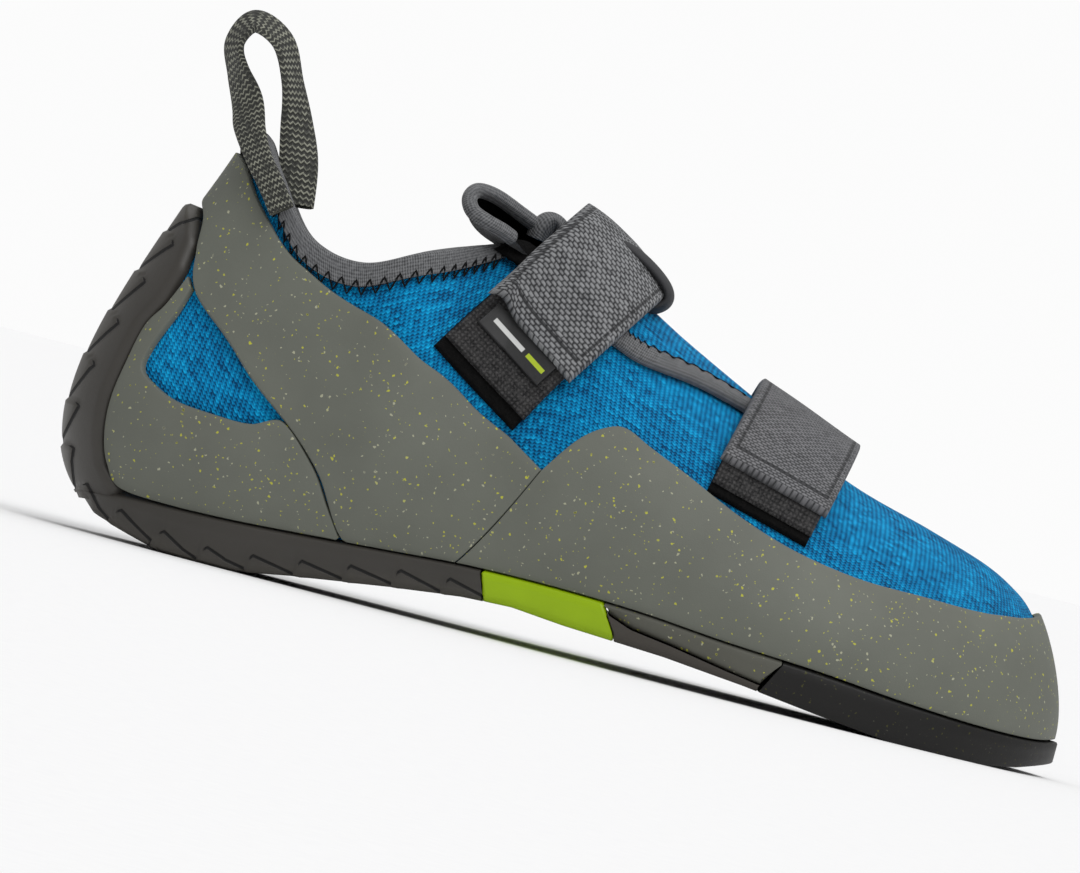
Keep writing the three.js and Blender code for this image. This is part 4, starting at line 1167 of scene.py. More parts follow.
def layer_under(x: Any) -> Any:
    """The height of the speckled strip's under-face."""
    return ARCH_HEIGHT * np.interp(np.asarray(x) / LENGTH, LAYER_UNDER[:, 0], LAYER_UNDER[:, 1])


def lip_out(w: Any) -> Any:
    """How far the sole's edge stands out beyond the knit."""
    return mix(GAP + HEEL_RUBBER, LIP_OUT, smoothstep(0, 0.16, to_toe(w)))


def heel_out(w: Any) -> Any:
    """How far the rubber over the back of the heel stands out."""
    return mix(GAP + HEEL_RUBBER, GAP + RAND + 0.5, smoothstep(0.02, 0.12, to_toe(w)))


def tuck(w: Any) -> Any:
    """How far the underside draws in from the lip."""
    front = to_toe(w)
    return mix(5.0, 2.2, smoothstep(0, 0.2, front)) * mix(1, 0.5, smoothstep(0.5, 0.75, front))


def feather(w: Any, out: Any) -> np.ndarray:
    """Points of the sole's upper face, a gap below the feather line."""
    down = unit(LAST.knit(w, 0) - LAST.knit(w, 0.01))
    return LAST.wall(w, 0, out) + down * GAP


@dataclass
class SolePiece:
    """One piece of the sole between two joints.

    Attributes:
        start: its rear joint, as a share of the length.
        end: its front joint.
        lean: how far the two joints' lower ends lie towards the toe.
        count: rings along it.
        crisp: how sharp the lower edge is, from 0, round, to 1.
        floor: the height of its under-face.
        ceiling: the height of its upper face, where it isn't the feather line.
    """

    start: float
    end: float
    lean: tuple[float, float] = (0, 0)
    count: int = 60
    crisp: float = 0.0
    floor: Callable = tread
    ceiling: Callable | None = None

    def side(self, w: np.ndarray, v: np.ndarray) -> np.ndarray:
        """Points down one side, from the upper face's inner end to the under-face's.

        Args:
            w: places of the upper face.
            v: places of the lower face.

        Returns:
            Points by ring and by place down the side.
        """
        lip = lip_out(w)
        top = [feather(w, o) for o in (-KNIT_WALL, lip * 0.3, lip - 0.9, lip - 0.25, lip)]
        top[-1][:, 2] -= 0.45
        top[-2][:, 2] -= 0.1
        if self.ceiling:
            for row in top:
                row[:, 2] = np.minimum(row[:, 2], self.ceiling(row[:, 0]))
        normal = LAST.normal(v, 0)
        normal[:, 2] = 0
        normal = unit(normal)
        edge_line = feather(v, lip_out(v))
        deep = tuck(v) * mix(1.0, 0.45, self.crisp)

        def under(inward: Any, rise: Any) -> np.ndarray:
            p = edge_line - normal * np.asarray(inward)[..., None]
            p[:, 2] = self.floor(p[:, 0]) + rise
            return p

        corner = under(0.12 * deep, 0.9 * deep)
        bottom = [under(i * deep, r * deep) for i, r in
                  ((0.3, 0.45), (0.6, 0.18), (1.0, 0.04))] + [under(tuck(v) + 1.5, 0)]
        upper = top[-1]
        low = np.minimum(corner[:, 2:3], upper[:, 2:3] - 0.5)
        corner[:, 2:3] = low
        wall_rows = [mix(upper, corner, t) for t in (0.33, 0.66, 1.0)]
        return np.stack([*top, *wall_rows, *bottom], 1)

    def rings(self) -> np.ndarray:
        """Closed cross-sections from the rear joint to the front one."""
        t = np.linspace(0, 1, self.count + 1)
        if self.start < HEEL_END:
            t = 1 - np.cos(t * math.pi / 2)
        if self.end > TOE_END:
            t = np.sin(t * math.pi / 2)
        at = mix(self.start, self.end, t)
        lean = mix(self.lean[0], self.lean[1], t)
        w = LAST.foot(at)
        v = LAST.foot(at + lean / LENGTH)
        lateral, medial = self.side(w, v), self.side(2 - w, 2 - v)
        s = np.linspace(0, 1, 14)[1:-1][:, None]
        inner = lateral[:, -1, None] * (1 - s) + medial[:, -1, None] * s
        inner[..., 2] = self.floor(inner[..., 0])
        upper = medial[:, 0, None] * (1 - s) + lateral[:, 0, None] * s
        return np.concatenate([lateral, inner, medial[:, ::-1], upper], 1)

    def make(self, name: str) -> bpy.types.Object:
        """Makes the piece, closed at its joints."""
        return loft(name, self.rings(), caps=True, angle=38)


def ease_edges(piece: bpy.types.Object, width: float = 0.35) -> None:
    """Rounds a piece's sharp edges by a small bevel, applied."""
    choose(piece)
    bpy.ops.object.modifier_add(type="BEVEL")
    bevel = piece.modifiers[-1]
    bevel.width = width / 1000
    bevel.segments = 2
    bevel.limit_method = "ANGLE"
    bevel.angle_limit = math.radians(48)
    bpy.ops.object.modifier_apply(modifier=bevel.name)


@dataclass
class Sole:
    """The arch's pieces and the forefoot's outsole."""

    joint: float = GAP / LENGTH

    def build(self) -> None:
        """Makes the four pieces."""
        lime = SolePiece(0.426 + self.joint, 0.545, (1.7, 4), 40).make("sole_arch_insert")
        ease_edges(lime, 0.6)
        dress(lime, "arch_insert", "lime_rubber", Finish.LIME)
        layer = SolePiece(0.545 + self.joint, 0.719 - self.joint, (1.5, -3.7), 60,
                          floor=layer_under).make("sole_arch_layer")
        dress(layer, "arch_layer", "speckled_rubber", Finish.STRIP)
        wedge = SolePiece(0.545 + 5 * self.joint, 0.703, (2.8, -0.3), 60,
                          ceiling=lambda x: layer_under(x) - GAP).make("sole_arch_wedge")
        dress(wedge, "arch_wedge", "heel_rubber", Finish.WEDGE)
        front = SolePiece(0.719, 0.988, (-3.7, 0), 140, crisp=1.0).make("sole_forefoot")
        dress(front, "outsole", "black_rubber", Finish.SOLE)


@dataclass
class HeelUnit:
    """The dark rubber up the back of the heel and under it, with scales across it.

    Attributes:
        edge_table: the back part's edge, as shares of the length and the height.
        outline: the heel's outline from the top of the back to the arch, in millimetres.
        pitch: from one scale to the next along the outline.
        reach: how far in from the outline a scale starts.
        raised: how far it stands out.
        top_up: the back part's top, as a share of the heel's height.
        crown: the share of the back part over which its top rounds off.
        tall: its height along the heel.
        rim: the round of its rim.
    """

    edge_table: tuple = (
        (0.072, 0.115), (0.0545, 0.16), (0.0455, 0.219), (0.0415, 0.309), (0.0465, 0.405),
        (0.0555, 0.504), (0.07, 0.57), (0.08, 0.65), (0.0825, 0.72), (0.079, 0.79))
    outline: tuple = (
        (21.5, 84.0), (18.8, 82.7), (15.5, 78.9), (12.2, 72.5), (9.1, 65.2), (6.6, 57.6),
        (3.8, 48.9), (1.3, 39.2), (0.3, 29.5), (1.0, 19.4), (3.2, 14.7), (7.7, 8.7), (14.2, 4.9),
        (23.8, 2.6), (36.9, 0.2), (48, 0.0), (66, 2.6), (90, 6.4), (110, 8.2))
    pitch: float = 11.8
    reach: float = 4.6
    raised: float = 0.75
    top_up: float = 0.8
    crown: float = 0.0625
    tall: float = 75.0
    rim: float = 2.4

    def pattern(self, points: np.ndarray) -> tuple[np.ndarray, np.ndarray]:
        """How far along the heel's outline points lie, and how far in from it, seen from the side.

        Args:
            points: points in millimetres.

        Returns:
            Lengths along and in.
        """
        line = np.array(self.outline)
        a, b = line[:-1], line[1:]
        run = np.linalg.norm(b - a, axis=1)
        start = np.concatenate([[0], run.cumsum()[:-1]])
        flat = points[..., (0, 2)].reshape(-1, 1, 2)
        t = np.clip(((flat - a) * (b - a)).sum(-1) / run ** 2, 0, 1)
        far = np.linalg.norm(flat - (a + t[..., None] * (b - a)), axis=-1)
        pick = far.argmin(1)
        rows = np.arange(len(pick))
        length = start[pick] + t[rows, pick] * run[pick]
        shape = points.shape[:-1]
        return length.reshape(shape), far[rows, pick].reshape(shape)

    def scale(self, points: np.ndarray) -> np.ndarray:
        """How far each point of the outer face is raised by the scale that it lies on."""
        t, d = self.pattern(points)
        turn = np.mod(t / self.pitch, 1)
        reach = np.sqrt(np.clip(turn / 0.16, 0, 1)) * (1 - turn * 0.86) * self.reach
        inside = smoothstep(0.5, -0.5, d - reach)
        shape = mix(1.0, 0.25, turn) * smoothstep(0, 0.06, turn)
        return self.raised * inside * shape

    def back(self) -> np.ndarray:
        """Rings of the part over the back of the heel."""
        edges = edge(self.edge_table, GAP + HEEL_RUBBER * 0.6)
        top = LAST.rise(0.0, self.top_up * HEEL_HEIGHT)
        h = np.concatenate([[-0.035], np.linspace(0, 1, 90) * top])
        order = np.argsort(edges[:, 1])
        wide = np.interp(h, edges[order, 1], edges[order, 0])
        close = np.clip((top - h) / (self.crown * top), 0, 1)
        wide = wide * np.sqrt(1 - (1 - close) ** 2) + 1e-5
        length = 2 * np.linalg.norm(LAST.knit(wide, h) - LAST.knit(0 * h, h), axis=1)
        length = np.maximum(length, 5.4)
        s = rim(length, 50, self.rim)
        w = mix(-wide[:, None], wide[:, None], s)
        hh = np.broadcast_to(h[:, None], w.shape)
        side = rounded(np.minimum(s, 1 - s) * length[:, None], self.rim)
        above = rounded((top - hh) / top * self.tall, self.rim)
        full = np.minimum(side, above)
        out = mix(lip_out(w), heel_out(w), smoothstep(0.0, 0.12, hh))
        face = LAST.wall(w, hh, GAP + (out - GAP) * full)
        normal = LAST.normal(w, np.clip(hh, 0, 1))
        face = face + normal * (self.scale(face) * full)[..., None]
        return there_and_back(face, LAST.wall(w, hh, GAP))

    def build(self) -> None:
        """Makes the moulding from its back and its slab under the heel."""
        back = self.back()
        slab = SolePiece(0.043, 0.426, (0, 1.7), 230).rings()
        centre = slab.mean(1, keepdims=True)
        outward = unit(slab - centre)
        raise_by = self.scale(slab) * smoothstep(16, 9, slab[..., 2])
        raise_by = raise_by * (np.abs(slab[..., 1]) > 3) * (slab[..., 2] > 0.6)
        slab = slab + outward * raise_by[..., None]
        pieces = []
        for name, rings in (("heel_back", back), ("heel_unit_rubber", slab)):
            uv = np.stack(self.pattern(rings), -1)
            pieces.append(loft(name, rings, uv, caps=True, angle=60))
        choose(*pieces)
        bpy.ops.object.join()
        dress(pieces[1], "heel_unit", "heel_rubber", Finish.HEEL)


@dataclass
class Insole:
    """The board inside the shoe, with its cloth cover."""

    thick: float = 3.0

    def build(self) -> None:
        """Makes the board."""
        at = mix(0.046, 0.986, 0.5 - 0.5 * np.cos(np.linspace(0, math.pi, 90)))
        w = LAST.foot(at)
        inset = -KNIT_WALL - 3 * GAP
        a, b = LAST.wall(w, 0, inset), LAST.wall(2 - w, 0, inset)
        s = rim(np.maximum(np.linalg.norm(a - b, axis=1), 4.5), 20, 1.5)[..., None]
        row = a[:, None] * (1 - s) + b[:, None] * s
        width = np.linalg.norm(a - b, axis=1)[:, None]
        share = rounded(np.minimum(s[..., 0], 1 - s[..., 0]) * width, 1.5)
        top, low = row.copy(), row.copy()
        top[..., 2] += GAP + self.thick * (0.4 + 0.6 * share)
        low[..., 2] += GAP
        piece = loft("insole_cover", there_and_back(top, low), caps=True)
        dress(piece, "insole", "insole_board", Finish.BOARD)


def below_rim(w: Any, distance: Any) -> np.ndarray:
    """The h that lies a distance below the collar's rim."""
    return 1 - distance / LAST.rate(w, 0.98)


@dataclass
class CollarTrim:
    """The collar's bound edge and its zigzag seam."""

    width: float = 4.8
    thick: float = 0.9
    end: float = 0.42
    pitch: float = 3.5

    def ring(self, w: float) -> np.ndarray:
        """One cross-section of the binding, round the rim and back inside itself."""
        inner = 2.2 * GAP
        outer = inner + self.thick
        middle = -KNIT_WALL / 2
        points = []
        for distance, count in ((outer, 9), (inner, 7)):
            big = KNIT_WALL / 2 + distance
            turn = np.linspace(0, math.pi, count)
            drop = np.concatenate([[self.width, self.width * 0.6, self.width * 0.25],
                                   -np.sin(turn) * big * 0.62,
                                   [self.width * 0.25, self.width * 0.6, self.width]])
            out = np.concatenate([[middle + big] * 3, middle + np.cos(turn) * big,
                                  [middle - big] * 3])
            row = np.stack([drop, out], 1)
            points.append(row if distance == outer else row[::-1])
        row = np.concatenate(points)
        return LAST.wall(w, below_rim(w, row[:, 0]), row[:, 1])

    def seam(self, inside: bool) -> np.ndarray:
        """The zigzag thread's points on the outside or the inside of the collar."""
        w = np.linspace(-self.end + 0.01, self.end - 0.012, 900)
        h = below_rim(w, self.width)
        arc = np.linalg.norm(np.diff(LAST.knit(w, h), axis=0), axis=1).cumsum()
        count = int(arc[-1] / self.pitch) * 2
        at = np.interp(np.linspace(0, arc[-1], count + 1), np.concatenate([[0], arc]), w)
        turn = np.arange(count + 1) % 2
        fine = np.linspace(0, 1, 5)[:-1]
        ws = (at[:-1, None] * (1 - fine) + at[1:, None] * fine).ravel()
        zig = (turn[:-1, None] * (1 - fine) + turn[1:, None] * fine).ravel()
        drop = mix(self.width - 1.5, self.width + 1.9, zig)
        out = 2.2 * GAP + self.thick + 0.12 - smoothstep(self.width - 0.2, self.width + 0.6, drop)
        if inside:
            out = -KNIT_WALL - out
        return LAST.wall(ws, below_rim(ws, drop), out)

    def build(self) -> None:
        """Makes binding and seam."""
        w = np.linspace(-self.end, self.end, 260)
        rings = np.array([self.ring(v) for v in w])
        piece = loft("collar_edge", rings, caps=True)
        dress(piece, "collar_binding", "grey_binding", Finish.BINDING)
        seams = thread("collar_zigzag", [self.seam(False), self.seam(True)], 0.5)
        dress(seams, None, "loop_pile", Finish.THREAD)


def tube(name: str, points: Sequence[Sequence[float]], radius: float, ridges: float = 0.0,
         flat: float = 1.0) -> bpy.types.Object:
    """A roll of cloth along a line.

    Args:
        name: the piece's name.
        points: shares of the length, the ball width and the instep height.
        radius: half its thickness.
        ridges: how much its surface stands up between the stitch lines.
        flat: how wide it is across the shoe, for each millimetre of thickness.

    Returns:
        The piece.
    """
    path = np.array(points) * (LENGTH, BALL, INSTEP_HEIGHT)
    t = np.linspace(0, 1, 140)
    line = along(path, t)
    run = unit(along(path, t + 0.01) - along(path, t - 0.01))
    side = unit(np.array([0, 1.0, 0]) - run * run[:, 1:2])
    face = np.cross(run, side)
    turn = np.linspace(0, math.tau, 25)[:-1]
    size = radius * (1 + ridges * np.cos(4 * turn))
    ends = np.sqrt(np.clip(1 - (1 - np.minimum(t, 1 - t) / 0.04).clip(0, 1) ** 2, 0.02, 1))
    across = (np.cos(turn) * size)[None, :] * ends[:, None]
    up = (np.sin(turn) * size)[None, :] * ends[:, None]
    rings = line[:, None] + side[:, None] * across[..., None] * flat + face[:, None] * up[..., None]
    return loft(name, rings, caps=True, angle=70)


@dataclass
class Hood:
    """The tongue's hood: a pouch with a thick bound lip, open over the front of the collar.

    Attributes:
        lip: the lip's middle line, as shares of the length, the ball width and the instep height.
        under: where the mouth closes below, out of sight.
        fold: the middle line of the second roll, in front of the lip.
        root: the dark fold at the strap's root, in front of the strap.
        shade_low: the lower edge of the near-black sheet below the mouth that stands in for the
            shade there, along and up, in millimetres.
        shade_high: its upper edge.
        deep: how far the pouch reaches in from its mouth.
        thick: its wall.
        radius: half the lip's thickness.
    """

    lip: tuple = (
        (0.377, -0.144, 0.957), (0.364, -0.167, 0.971), (0.347, -0.189, 0.983),
        (0.332, -0.178, 1.000), (0.326, -0.144, 1.029), (0.332, -0.100, 1.053),
        (0.350, -0.044, 1.051), (0.375, 0.000, 1.027), (0.396, 0.022, 1.004),
        (0.406, 0.033, 0.984))
    under: tuple = ((0.405, -0.022, 0.939), (0.393, -0.089, 0.931))
    fold: tuple = (
        (0.397, 0.033, 0.975), (0.399, 0.033, 1.003), (0.404, 0.044, 1.02),
        (0.412, 0.056, 1.016), (0.42, 0.067, 0.992))
    root: tuple = (
        (0.44, 0.03, 1.045), (0.476, 0.03, 1.017), (0.507, 0.03, 0.978), (0.527, 0.03, 0.937),
        (0.53, 0.03, 0.905), (0.517, 0.03, 0.882), (0.495, 0.03, 0.88))
    shade_low: tuple = ((91.8, 95.5, 99.5), (91.0, 89.6, 87.5))
    shade_high: tuple = ((94.2, 98.0, 102.0), (94.5, 94.6, 93.5))
    deep: float = 17.0
    thick: float = 1.4
    radius: float = 1.75

    def wall(self, count: int, inset: float) -> np.ndarray:
        """Meridians of the pouch from its mouth to its bottom, by place round the mouth."""
        loop = np.array([*self.lip, *self.under])
        around = np.concatenate([loop[-1:], loop, loop[:2]])
        t = (1 + np.linspace(0, len(loop), count, endpoint=False)) / (len(around) - 1)
        line = along(around, t) * (LENGTH, BALL, INSTEP_HEIGHT)
        centre = line.mean(0)
        turn = np.linspace(0, math.pi / 2, 18)
        size = np.cos(turn) ** 0.8 * (1 + 0.25 * np.sin(2 * turn))
        far = np.linalg.norm(line - centre, axis=1, keepdims=True)
        spoke = (line - centre) / far
        reach = np.maximum(far - inset, 0.5)[:, None] * size[None, :, None]
        depth = np.sin(turn)[:, None] * (self.deep - inset) * unit(np.array([0.12, 1.0, -0.35]))
        return centre + spoke[:, None] * reach + depth

    def build(self) -> None:
        """Makes the pouch, its lip and the folds beside it."""
        count = 96
        outer = self.wall(count, 0.0)
        rings = there_and_back(outer, self.wall(count, self.thick))
        deep = outer.shape[1]
        drop = np.zeros(rings.shape[:2], bool)
        drop[:, deep - 1] = True
        slots = np.where(np.arange(rings.shape[1]) < deep, 0, 1)
        piece = loft("tongue_hood", rings, around=True, drop=drop, slots=slots)
        dress(piece, "tongue", "grey_binding", Finish.BINDING, Finish.PILE)
        piece = tube("tongue_edge", self.lip, self.radius, 0.07)
        dress(piece, "tongue_binding", "grey_binding", Finish.BINDING)
        piece = tube("tongue_fold", self.fold, 2.8, 0.05, flat=1.6)
        dress(piece, None, "grey_binding", Finish.BINDING)
        piece = tube("strap_root_fold", self.root, 1.8, flat=5.0)
        dress(piece, None, "hook_tape", Finish.ROOT)
        self.tab()

    def tab(self) -> None:
        """A near-black sheet of pile below the mouth: painted shade where the mouth's shadow falls.
        """
        low, thick = 2.0, 0.8
        edges = [curve(LAST.place(x, z, low + thick)) for x, z in (self.shade_low, self.shade_high)]
        # Painted shade: a near-black pile sheet below the mouth.
        piece = Patch(low, low + thick, 0.4, (24, 16)).make("throat_shade_sheet", *edges)
        dress(piece, None, "loop_pile", Finish.PILE)


@dataclass
class InstepFlap:
    """The flap of knit over the instep, its bound edge and its seam.

    Attributes:
        edge_rows: its lateral edge, as shares of the length and the height.
        medial_rows: its medial edge.
        rows: rows of points on each side of the ridge.
        edge_round: over how many rows its edges round off.
        thick: how thick it is.
        band: how thick its binding is.
        width: how wide its binding is.
    """

    edge_rows: tuple = (
        (0.42, 0.885), (0.44, 0.85), (0.472, 0.805), (0.5, 0.775), (0.526, 0.754),
        (0.581, 0.735), (0.636, 0.698))
    medial_rows: tuple = (
        (0.42, 0.74), (0.44, 0.7), (0.472, 0.66), (0.5, 0.64), (0.526, 0.62), (0.581, 0.6),
        (0.636, 0.6))
    rows: int = 24
    edge_round: float = 0.9
    thick: float = 1.4
    band: float = 0.8
    width: float = 3.8

    def build(self) -> None:
        """Makes flap, binding and seam."""
        out = GAP + self.thick
        lateral = edge(self.edge_rows, out)
        medial = edge(self.medial_rows, out, medial=True)
        t = np.linspace(0, 1, 70)
        low, far = curve(lateral)(t), curve(medial)(t)
        s = np.linspace(0, 1, self.rows)
        halves = [np.repeat(low[:, :1], self.rows, 1), np.repeat(far[:, :1], self.rows - 1, 1)]
        w = np.concatenate(halves, 1)
        up = mix(low[:, 1:], 1.0, s)
        down = mix(1.0, far[:, 1:], s[1:])
        h = np.concatenate([up, down], 1)
        top_w = (low[:, :1] + (2 - far[:, :1])) / 2
        blend = smoothstep(0.5, 1.0, h)
        w = mix(w, np.where(w > 1, 2 - top_w, top_w), blend)
        place = np.arange(h.shape[1])
        full = rounded(np.minimum(place, place[::-1]), self.edge_round)[None, :]
        face = LAST.wall(w, h, GAP + self.thick * full)
        back = LAST.wall(w, h, GAP)
        uv = there_and_back(LAST.cloth(w, h))
        piece = loft("flap_knit", there_and_back(face, back), uv, caps=True)
        dress(piece, "instep_flap", "blue_knit", Finish.KNIT)
        self.binding(curve(lateral))

    def binding(self, line: Callable) -> None:
        """The band over the flap's lateral edge, and the thread along it."""
        t = np.linspace(0.02, 0.98, 120)
        place = line(t)
        w, h = place[:, :1], place[:, 1:]
        inner = 2 * GAP + self.thick
        outer = inner + self.band
        low = -2 * GAP - 0.9
        up = np.array([self.width, self.width * 0.5, 0.6, low + 0.5, low, low, low + 0.3, -0.7,
                       -0.7, self.width * 0.5, self.width])
        out = np.array([outer, outer + 0.15, outer + 0.2, outer - 0.15, outer - 0.8, 1.0, 0.6, 0.6,
                        inner, inner, inner])
        rings = LAST.wall(w, h + up / LAST.rate(w, h), out)
        piece = loft("flap_edge", rings, caps=True, angle=65)
        dress(piece, "flap_binding", "grey_binding", Finish.BINDING)
        count = 44
        t = np.linspace(0.05, 0.95, count)
        w, h = line(t).T
        zig = np.where(np.arange(count) % 2, self.width - 1.2, self.width + 1.3)
        out = np.where(np.arange(count) % 2, outer + 0.4, GAP + self.thick + 0.6)
        seam = LAST.wall(w, h + zig / LAST.rate(w, h), out)
        dress(thread("flap_zigzag", [seam], 0.45), None, "loop_pile", Finish.THREAD)


@dataclass
class Closure:
    """One hook-and-loop closure: pad, hook tape and strap.

    Attributes:
        name: which of the two it is.
        at, up: the strap tip's middle, seen from the side.
        lean: how far the strap leans back, in degrees.
        pad_down, hook_down: how far pad and tape show past the tip.
        tucked: how far they reach under it.
        medial_down: how far past the tip's height it comes down on the inner side.
        lift: how far it stands off the ridge, at its rear and front edges.
        finish: the strap's weave.
        width: how wide the strap is.
        thick: how thick it is.
        edge_round: the round of its edges.
        fold_end: how far its folded tip reaches.
        fold_high: how much thicker it is there.
        crease_at: where the stitch line draws it in, from the tip.
        crease_deep: how much.
        swell: how much its middle stands up.
    """

    name: str
    at: float
    up: float
    lean: float
    pad_down: float
    hook_down: float
    tucked: float
    medial_down: float
    lift: tuple[float, float]
    finish: Finish
    width: float = 29.0
    thick: float = 1.7
    edge_round: float = 0.7
    fold_end: float = 5.8
    fold_high: float = 0.35
    crease_at: float = 4.3
    crease_deep: float = 0.25
    swell: float = 0.25

    def __post_init__(self) -> None:
        """Works out the strap's directions, seen from the side."""
        angle = math.radians(self.lean)
        self.run = np.array([math.cos(angle), -math.sin(angle)])
        self.down = np.array([-math.sin(angle), -math.cos(angle)])
        self.tip = np.array([self.at * LENGTH, self.up * height_at(self.at)])

    def spot(self, across: Any, down: Any) -> np.ndarray:
        """Points in side view at distances across the strap and past its tip."""
        across, down = np.broadcast_arrays(np.asarray(across, float), np.asarray(down, float))
        return self.tip + across[..., None] * self.run + down[..., None] * self.down

    def chart(self, points: np.ndarray) -> np.ndarray:
        """Lengths across the strap and past its tip, seen from the side."""
        flat = points[..., (0, 2)] - self.tip
        return np.stack([flat @ self.run, flat @ self.down], -1)

    def patch(self, name: str, node: str, across: tuple[float, float], reach: tuple[float, float],
              low: float, thick: float, slot: str, finish: Finish, radius: float = 0.5) -> None:
        """Lays a rectangle on the side of the shoe.

        Args:
            name: the piece's name.
            node: the CAD node that it stands for.
            across: its two ends across the strap.
            reach: its lower and upper edges past the strap's tip.
            low: its under-face, out from the knit.
            thick: how thick it is.
            slot: the record's material slot.
            finish: its finish.
            radius: the round of its rims.
        """
        a = np.linspace(*across, 9)
        edges = []
        for down in reach:
            p = self.spot(a, down)
            edges.append(curve(LAST.place(p[:, 0], p[:, 1], low + thick)))
        piece = Patch(low, low + thick, radius, (50, 24)).make(name, *edges, chart=self.chart)
        dress(piece, node, slot, finish)

    def stand(self, w: Any, h: Any) -> np.ndarray:
        """How far the strap stands off the layers under it."""
        p = LAST.knit(w, h)
        flat = p[..., (0, 2)] - self.tip
        across = np.clip(flat @ self.run / self.width + 0.5, 0, 1)
        crest = mix(self.lift[0], self.lift[1], across)
        sewn = np.where(np.mod(w, 2) > 1, 1.1 * (1 - smoothstep(0.5, 0.9, h)), 0)
        return crest * smoothstep(0.5, 1, h) - sewn

    def strap(self, low: float) -> None:
        """The woven strap, from its folded tip over the instep to its root."""
        half = self.width / 2
        s = rim(self.width, 22, self.edge_round)
        across = mix(-half, half, s)
        ends = []
        for down, medial in ((0.0, False), (self.medial_down, True)):
            p = self.spot(across, down)
            ends.append(LAST.place(p[:, 0], p[:, 1], low + self.thick, medial)[:, 1])
        u = np.concatenate([[0, 0.004, 0.012, 0.025, 0.045], np.linspace(0.065, 1, 56)])
        rows_h, rows_m = [], []
        for t in u:
            rows_h.append(mix(ends[0], 1.0, t))
            rows_m.append(np.zeros_like(across, bool))
        for t in np.linspace(0, 1, 56)[1:]:
            rows_h.append(mix(1.0, ends[1], t))
            rows_m.append(np.ones_like(across, bool))
        h, medial = np.array(rows_h), np.array(rows_m)
        wanted = np.broadcast_to(across, h.shape)

        def past(w: np.ndarray) -> np.ndarray:
            v = np.where(medial, 2 - w, w)
            p = LAST.wall(v, h, low + self.stand(v, h))
            return (p[..., (0, 2)] - self.tip) @ self.run > wanted

        w = LAST.bisect(past, h, 0.12, 0.98)
        w = np.where(medial, 2 - w, w)
        stand = self.stand(w, h)
        middle = LAST.wall(w, h, low + stand)
        steps = np.linalg.norm(np.diff(middle, axis=0), axis=-1)
        length = np.concatenate([np.zeros((1, len(across))), steps.cumsum(0)])
        side = rounded(np.minimum(s, 1 - s) * self.width, self.edge_round)[None, :]
        full = np.minimum(side, rounded(length, self.edge_round))
        fold = self.fold_high * smoothstep(self.fold_end + 0.4, self.fold_end - 0.4, length)
        crease = self.crease_deep * np.exp(-((length - self.crease_at) / 0.5) ** 2)
        swell = self.swell * np.sin(np.clip(s, 0, 1) * math.pi)[None, :]
        high = low + stand + self.thick * full + (fold - crease + swell) * full
        face = LAST.wall(w, h, high)
        back = LAST.wall(w, h, low + stand - 0.02)
        uv = np.stack([length, np.broadcast_to(across, h.shape)], -1)
        piece = loft(f"strap_{self.name}_webbing", there_and_back(face, back),
                     there_and_back(uv), caps=True)
        LOG.info("strap %s is %.0f mm long", self.name, length[-1].mean())
        dress(piece, f"strap_{self.name}", "strap_webbing", self.finish)

    def build(self) -> None:
        """Makes the closure's pieces."""
        half = self.width / 2
        hook = 2 * GAP + 1.3
        base = hook + 1.2 + GAP
        self.patch(f"pile_{self.name}", f"loop_pad_{self.name}", (1 - half, half - 1),
                   (self.pad_down, -self.tucked), GAP, 1.3, "loop_pile", Finish.PILE, 0.6)
        self.patch(f"hooks_{self.name}", f"hook_tape_{self.name}", (1 - half, half - 1),
                   (self.hook_down, -self.tucked), hook, 1.2, "hook_tape", Finish.HOOK)
        self.strap(base)
        if self.name == "upper":
            self.patch("tag", "label", (-11, 9.8), (7.1, GAP), base, 0.8, "label_tag",
                       Finish.TAG, 0.35)


@dataclass
class PullLoop:
    """The webbing loop at the heel."""

    rows: tuple = (
        (0.158, -0.262, 0.84, 92, 0.5), (0.142, -0.232, 0.892, 90, 0.5),
        (0.124, -0.19, 0.945, 86, 0.52), (0.11, -0.135, 1.0, 75, 0.62),
        (0.098, -0.06, 1.065, 50, 0.85), (0.081, -0.01, 1.135, 24, 1),
        (0.072, 0.0, 1.2, 22, 1), (0.086, 0.0, 1.258, 26, 1), (0.116, 0.0, 1.228, 24, 1),
        (0.135, -0.005, 1.14, 22, 1), (0.149, -0.02, 1.05, 40, 0.95),
        (0.16, -0.06, 0.96, 62, 0.85), (0.167, -0.11, 0.86, 80, 0.75))
    width: float = 12.5
    thick: float = 1.8

    def build(self) -> None:
        """Makes the loop."""
        t = np.linspace(0, 1, 200)
        row = along(np.array(self.rows), t)
        size = np.array([LENGTH, BALL, HEEL_HEIGHT])
        spot = row[:, :3] * size
        ahead = along(np.array(self.rows), t + 0.01)[:, :3] * size
        behind = along(np.array(self.rows), t - 0.01)[:, :3] * size
        run = unit(ahead - behind)
        level = unit(np.array([0, 1, 0]) - run * run[:, 1:2])
        turn = np.radians(row[:, 3])[:, None]
        wide = level * np.cos(turn) + np.cross(run, level) * np.sin(turn)
        face = np.cross(run, wide)
        s = np.linspace(-1, 1, 15)
        bulge = np.sqrt(np.clip(1 - np.abs(s) ** 5, 0, 1))
        across = np.concatenate([s, s[::-1][1:-1]])
        up = np.concatenate([bulge, -bulge[::-1][1:-1]])
        half = row[:, 4:5] * self.width / 2
        rings = (spot[:, None] + wide[:, None] * (across * half)[..., None]
                 + face[:, None] * (up * self.thick / 2)[None, :, None])
        piece = loft("loop_ribbon", rings, caps=True, angle=70)
        dress(piece, "pull_loop", "loop_webbing", Finish.WEBBING)


